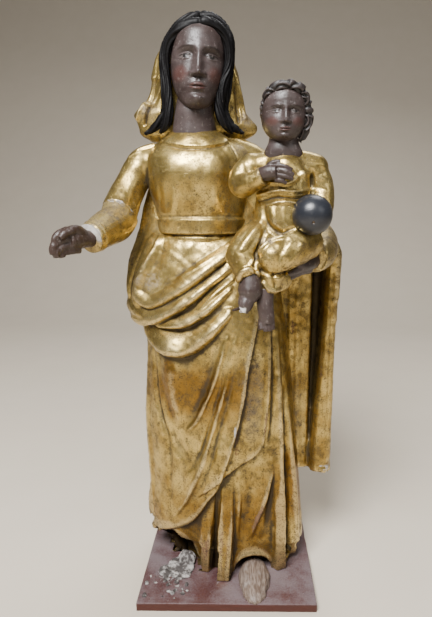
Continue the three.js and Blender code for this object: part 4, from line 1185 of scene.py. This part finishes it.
mark(hand, "bare", 0.5 * zone(knuckles, ((-93, -48, 267), (4, 4, 4))))
hand_over(hand, "right_hand", flesh_paint("worn_hand", brown=0.72))


# Child's body in a gilded tunic: carved on its own and set on the left arm. The right hand lies on the
# chest, the left arm goes down behind the ball, and the left thigh crosses in front.

CHILD_MASSES = [
    ([(35, -41, 316), (35, -40.5, 311.5), (35, -40, 303), (35, -41, 286), (34, -42, 268), (33, -42, 258)],
     [9.5, 13.5, 17, 18, 19.5, 18.5]),
    ([(15, -40, 307), (25, -40, 307.5), (35, -41, 307), (46, -40, 307.5), (54, -40, 306)],
     [8.4, 9, 9.5, 9.4, 9]),
    ([(16, -39, 307), (10, -42, 303), (7.8, -47, 295.5), (14, -54, 296.5), (22, -58, 300)],
     [8.6, 8.6, 7.6, 6.8, 5.8]),
    ([(53, -39, 306), (58, -39, 297), (59.5, -42, 285), (58, -48, 272)], [8.8, 8.2, 7.6, 6.5]),
    ([(27, -41, 264), (16, -50, 259), (8.4, -56, 252.5)], [13.5, 13, 10.4]),
    ([(8.4, -56.5, 252), (11.5, -60, 244.5), (13.6, -62, 238.4)], [10.2, 9.2, 8]),
    ([(51, -42, 262), (40, -53, 256.5), (29, -60, 251)], [13, 12.4, 10.6]),
    ([(28.5, -59, 248), (27, -58, 238), (25.5, -58, 229)], [9, 7.4, 5.8]),
]
CHILD_JOINTS = [  # centre and radii of the knees, elbow, lap, cloth bunch and shoulders
    ((8.4, -56.5, 252), (10.2, 9.6, 10)),
    ((28.5, -60, 251), (10.8, 10, 10.4)),
    ((7.8, -47, 295.5), (7.4, 7.6, 7.6)),
    ((36, -42, 262), (21, 17, 13)),
    ((33, -50, 237), (8, 8, 9)),
    ((53.6, -39.6, 306), (9.4, 9.2, 9.4)),
    ((14.5, -40, 307), (8.8, 8.8, 8.8)),
]
masses = [rod(*mass) for mass in CHILD_MASSES] + [ball(*joint) for joint in CHILD_JOINTS]
tunic = fused("child_tunic", masses, 0.74, 5)
carve(tunic, [
    ([(18, 289.5), (32, 291.5), (42, 291), (52, 293)], 1.7, [1, 1.6, 1.6, 1]),
    ([(19, 285.5), (30, 287.5), (42, 287), (50, 288)], 1.5, [-1, -1.9, -1.9, -1]),
    ([(21, 282.5), (32, 284.5), (42, 284)], 1.7, [0.8, 1.6, 0.8]),
    ([(24, 297), (36, 296), (46, 302)], 2.2, [1.2, 1.8, 1]),
    ([(41, 308), (45, 303), (49, 295)], 2.4, [0, 1.2, 0]),
    ([(38, 307), (42, 302), (45, 297)], 2, [0, -1.2, 0]),
    ([(51.6, 306), (52, 299), (51.5, 292), (51, 284)], 2.2, [0, -2, -2, 0]),
    ([(53, 307), (57, 305.5), (61, 303)], 2.4, [0, -1, 0]),
    ([(53, 301), (58, 299.5), (62, 297)], 2.4, [0, 1, 0]),
    ([(53, 295), (59, 293), (63, 290)], 2.4, [0, -1, 0]),
    ([(9, 312), (12, 304), (12, 296)], 2.2, [0, -0.9, 0]),
    ([(16, 311), (18, 303), (16, 296)], 2.2, [0, 0.8, 0]),
    ([(22, 281), (24, 272), (32, 266), (40, 268)], 3, [-0.8, -2.2, -2.2, -1]),
    ([(27, 280), (29, 273)], 6, 1.6),
    ([(14, 247), (19, 254), (25, 260), (34, 264), (42, 268)], 1.8, [1, 2, 2, 1.8, 1]),
    ([(17, 240), (17, 250), (20, 259), (23, 268)], 2.2, [-1.5, -2.8, -2.6, -1]),
    ([(20, 272), (14, 264), (9, 257)], 4, 1.4),
    ("roll", [(6.5, 236), (9, 242.5), (13.5, 244.5), (18, 241.5), (21.5, 233)], 1.9, [1, 2, 2.2, 2, 1]),
    ([(21, 243), (27, 240.5), (34, 241), (41, 245)], 2.4, [-1, -2.4, -2.4, -1]),
    ([(22, 236), (27, 231), (34, 231)], 2.0, 1.4),
    ([(28, 240), (30, 234)], 2.0, -1.4),
    ([(36, 262), (32, 254), (29, 247)], 3, -0.9),
    ([(45, 259), (41, 252), (36, 246)], 3, 1.0),
])
shirt = roughened(tunic, (0.12, 3, 91), (0.15, 7, 92))
mark(tunic, "hollow", hollows(tunic, 20) / 1.2)
mark(tunic, "worn_and_shade", 0.75 * zone(
    shirt, ((34, -46, 256), (8, 18, 6)), ((34, -50, 316), (18, 14, 5)), ((18, -56, 305), (8, 10, 6)),
    ((32, -56, 236), (10, 12, 10)), ((44, -50, 262), (10, 14, 8))))
mark(tunic, "dusty", 0.6 * zone(shirt, ((24, -60, 261), (12, 12, 4))))
mark(tunic, "bole", 0.5 * zone(shirt, ((60, -46, 284), (8, 10, 14))))
hand_over(tunic, "child", gilt)


# Child's head, hands and feet: carved with the child and painted in flesh. The toes of the right foot are
# broken off to white gesso round the stub of a nail.

CHILD_HEAD_LEVELS = [
    (321.4, 0, -4, -3, 3, -9, 0),
    (322.6, 0, -3, -6.4, 6.4, -12.2, 3),
    (325.5, 0, -1, -9.8, 9.8, -13.9, 7),
    (329.5, 0, 0, -12.4, 12.4, -14.6, 11),
    (334.0, 0, 0, -13.6, 13.6, -14.8, 14),
    (339.0, 0, 0, -14.0, 14.0, -14.8, 16),
    (345.0, 0, 0, -13.8, 13.8, -15.0, 16.4),
    (350.0, 0, 0, -12.2, 12.2, -13.2, 15),
    (353.6, 0, 0, -9.0, 9.0, -9.6, 11.6),
    (355.4, 0, 0, -4.5, 4.5, -4.6, 6),
]
CHILD_HEAD = {"middle": (33.7, -45, 338), "eyes": 337.6, "turn": 2.0, "tilt": 1.5,
              "size": (0.68, 0.50, 0.56)}
child_head = head("child_head", CHILD_HEAD_LEVELS, CHILD_HEAD, 170, 135)
mark(child_head, "hollow", hollows(child_head, 10) / CHILD_SPAN)
hand_over(child_head, "child", flesh_paint("child_flesh", drawn=True))

child_neck = column("child_neck", [
    (306, 34.6, -42, 22, 48, -47, -33),
    (311, 34.6, -42, 21.6, 47.6, -50.6, -34),
    (315, 34.4, -43, 21.8, 46.6, -52.2, -34),
    (318, 34, -44, 23, 45, -52.2, -35),
    (321, 34, -44, 24.4, 43.6, -51.6, -35),
    (325, 34, -44, 25.2, 42.6, -51, -35),
    (331, 34, -44, 26.4, 42, -50, -35),
], 90, 40)
mark(child_neck, "hollow", hollows(child_neck, 10) / CHILD_SPAN)
hand_over(child_neck, "child", flesh_paint("child_neck_flesh"))

CHILD_LIMBS = {
    "child_right_hand": [
        ([(19, -57, 301), (24, -60, 302), (29.5, -61.5, 302.3)], [4.2, 4.7, 4.5]),
        ([(29.5, -62, 306), (34.5, -63.5, 305), (38.2, -62.5, 303.3)], [1.9, 1.6, 1.3]),
        ([(30, -62.4, 303.4), (35.5, -64, 302.1), (39.4, -63, 300.2)], [1.9, 1.6, 1.3]),
        ([(29.6, -62, 300.6), (35, -63.5, 299.4), (39, -62.5, 297.8)], [1.8, 1.5, 1.2]),
        ([(28.4, -61.4, 298), (32.4, -62.6, 296.8), (35.2, -62, 295.5)], [1.7, 1.4, 1.1]),
        ([(24, -60, 305.6), (27.4, -61.5, 307.8), (31.4, -62, 308.2)], [2.0, 1.7, 1.4]),
    ],
    "child_right_foot": [
        ([(13.4, -61.5, 241), (14, -62.5, 235), (14, -63.5, 229), (13.5, -64.5, 224)],
         [6.4, 7.2, 7.4, 4.6]),
        ([(12.5, -64, 226), (10.5, -66.5, 220.5), (9.5, -67.5, 217)], [5.4, 4.6, 3]),
    ],
    "child_left_foot": [
        ([(23.4, -58, 231), (23.6, -59.5, 222), (24.8, -61, 213), (25.4, -62, 209)], [5.8, 5.4, 5.0, 4.0]),
        ([(22.4, -60, 214), (21.6, -62.5, 208), (21.6, -63.5, 205.8)], [2.8, 2.4, 2.1]),
        ([(24.4, -61, 213), (24.2, -63.6, 206.6), (24.3, -64, 204.8)], [2.6, 1.9, 1.7]),
        ([(25.8, -61, 213), (26.5, -63.4, 206.8), (26.6, -63.8, 205)], [2.6, 1.8, 1.6]),
        ([(27.2, -60.5, 213), (28.4, -62.8, 207.6), (28.6, -63.2, 206)], [2.4, 1.7, 1.5]),
    ],
}
for name, bars in CHILD_LIMBS.items():
    limb = fused(name, [rod(*bar) for bar in bars], 0.42, 4)
    skin = points_of(limb)
    broken = np.zeros(len(skin))
    if name == "child_right_foot":
        broken = 1 - rise(skin[:, 2] + 1.2 * wander(skin, 3, 95), 220, 224)
        broken *= rise(12 - skin[:, 0], -2, 2)
        skin += normals_of(limb) * (-1.2 * broken + 0.7 * broken * wander(skin, 2, 96))[:, None]
        move_to(limb, skin)
    mark(limb, "hollow", hollows(limb, 10) / FLESH_SPAN)
    mark(limb, "bare", broken)
    hand_over(limb, "child", flesh_paint(name + "_flesh", brown=0.3))

nail = rod([(8, -66, 220), (5.4, -68.4, 219.6), (3.4, -69.6, 219)], [1.0, 0.9, 0.7])
nail = fused("child_foot_nail", [nail], 0.3, 2)
iron = Finish("rusted_nail")
rust = iron.noise(1.0, 4, 0.7)
iron.finish(iron.blend(rust, (0.018, 0.014, 0.012), (0.06, 0.03, 0.018)), 0.7 + 0.2 * rust, 0.3, rust, 0.2)
hand_over(nail, "child", iron.material)


# Child's hair: a close cap of small curls, each cut as a spiral, painted dark brown; the crests are lighter,
# partly rubbed and partly a painted highlight, and the grooves dark as painted shade. Carved with the
# child's head.

CURL_CAP = {"centre": (34.3, -42.5, 340.8), "radii": (14.6, 15.2, 15)}
CURL_COUNT = 52
curls = fused("child_hair", [
    ball(CURL_CAP["centre"], CURL_CAP["radii"]),
    rod([(20.8, -47, 338), (21.2, -49.5, 344), (23.6, -53.5, 349.4), (28.5, -57, 352), (34.5, -58, 352.8),
         (41, -56.8, 351.6), (45.4, -53, 347.4), (47.6, -49.5, 341), (48.2, -47.5, 334), (46, -45.5, 326.5),
         (43.5, -44.5, 321.5)], [1.2, 1.5, 2, 2.3, 2.3, 2.4, 2.5, 2.8, 3, 2.6, 1.8]),
], 0.42, 3)
cap = points_of(curls)
out = normals_of(curls)
centre = np.array(CURL_CAP["centre"])
spiral = np.zeros(len(cap))
nearest = np.full(len(cap), 1e9)
for k in range(CURL_COUNT):
    height = 1 - 2 * (k + 0.5) / CURL_COUNT
    turn = k * math.pi * (3 - math.sqrt(5))
    flat = math.sqrt(1 - height**2)
    way = np.array([flat * math.cos(turn), flat * math.sin(turn), height])
    spot = centre + way * np.array(CURL_CAP["radii"])
    first = np.cross(way, (0, 0, 1) if abs(height) < 0.9 else (1, 0, 0))
    first /= np.linalg.norm(first)
    off = cap - spot
    far = np.linalg.norm(off, axis=1)
    bearing = np.arctan2(off @ np.cross(way, first), off @ first)
    closer = far < nearest
    spiral = np.where(closer, np.cos(far * 2.4 - bearing) + 0.6 * (1 - rise(far, 2.2, 4.6)), spiral)
    nearest = np.where(closer, far, nearest)
cap += out * (0.62 * spiral)[:, None]
move_to(curls, cap)
mark(curls, "hollow", hollows(curls, 9) / 0.6)

brown = Finish("brown_hair")
hollow, fine = brown.mark("hollow"), brown.noise(1.3, 4, 0.65)
# crest_highlight lightens the crests, partly rubbed paint and partly a painted highlight, and leaves the
# grooves dark as painted shade.
crest_highlight = brown.between(0.6 * (fine - 0.5) - hollow, -0.2, 0.8)
colour = brown.blend(crest_highlight, (0.0035, 0.0022, 0.0020), (0.036, 0.026, 0.025))
brown.finish(colour, 0.4 + 0.2 * fine, 0.0, fine, 0.12)
hand_over(curls, "child", brown.material)


# Ball: a turned wooden ball in the child's lap, painted a satin blue-black, with a small hole drilled
# low in front.

BALL = {"centre": (51.5, -58, 277), "radius": 12.45}
clear_selection()
bpy.ops.mesh.primitive_ico_sphere_add(subdivisions=6, radius=BALL["radius"] * MM,
                                      location=[c * MM for c in BALL["centre"]])
orb = bpy.context.object
orb.name = "orb"
bpy.ops.object.transform_apply(location=True, rotation=True, scale=True)
bpy.ops.object.shade_smooth()
turned = points_of(orb)
out = normals_of(orb)
hole = np.array([51.0, -69.4, 272.3])
drilled = 1 - rise(np.linalg.norm(turned - hole, axis=1), 0.5, 1.0)
turned += out * (-1.4 * drilled + 0.05 * wander(turned, 6, 101))[:, None]
move_to(orb, turned)
mark(orb, "hollow", drilled)
slate = Finish("dark_paint")
fine, cloud = slate.noise(1.4, 5, 0.7), slate.noise(9, 4, 0.6)
scuff = slate.between(slate.noise(3.2, 5, 0.75), 0.62, 0.72)
colour = slate.blend(cloud, (0.009, 0.010, 0.014), (0.022, 0.025, 0.032))
colour = slate.blend(0.4 * scuff, colour, (0.085, 0.085, 0.09))
colour = slate.blend(slate.mark("hollow"), colour, (0.25, 0.18, 0.12))
slate.finish(colour, 0.24 + 0.14 * fine + 0.12 * scuff, 0.0, fine + scuff, 0.06)
hand_over(orb, "orb", slate.material)


# Setting: a plain pale floor, soft light from the upper left, and the camera a little above the figure's
# middle, close in front.

clear_selection()
bpy.ops.mesh.primitive_grid_add(x_subdivisions=8, y_subdivisions=120, size=8)
floor = bpy.context.object
floor.name = "floor"
sweep = points_of(floor)
sweep[:, 2] = 0.8 * MM * np.clip(sweep[:, 1] - 900, 0, None) ** 2
move_to(floor, sweep)
bpy.ops.object.shade_smooth()
pale = Finish("pale_floor")
pale.finish(pale.blend(pale.noise(60, 2), (0.58, 0.51, 0.41), (0.62, 0.55, 0.45)), 0.85)
floor.data.materials.append(pale.material)

LIGHTS = [  # name, place, size, power in watts and the height it is aimed at
    ("key", (-0.26, -0.72, 1.04), 0.46, 36.0, 0.26),
    ("fill", (0.9, -0.9, 0.9), 0.7, 3.0, 0.24),
    ("back", (0.3, 0.7, 1.5), 0.8, 14.0, 0.3),
]
for name, place, size, power, height in LIGHTS:
    bpy.ops.object.light_add(type="AREA", location=place)
    lamp = bpy.context.object
    lamp.name = name
    lamp.data.size = size
    lamp.data.energy = power
    aim = Vector((0, 0, height)) - Vector(place)
    lamp.rotation_euler = aim.to_track_quat("-Z", "Y").to_euler()
world = bpy.data.worlds.new("studio")
world.use_nodes = True
world.node_tree.nodes["Background"].inputs["Color"].default_value = (0.95, 0.91, 0.85, 1)
world.node_tree.nodes["Background"].inputs["Strength"].default_value = 0.13
bpy.context.scene.world = world

FOCAL_LENGTH = 520  # in picture points, as is the height
PICTURE_HEIGHT = 617
bpy.ops.object.camera_add(location=(0.0117, -0.3841, 0.2763),
                          rotation=(math.radians(79.913), 0, math.radians(3.359)))
camera = bpy.context.object
camera.data.sensor_width = 36.0
camera.data.lens = camera.data.sensor_width * FOCAL_LENGTH / PICTURE_HEIGHT
camera.data.clip_start = 0.01
bpy.context.scene.camera = camera
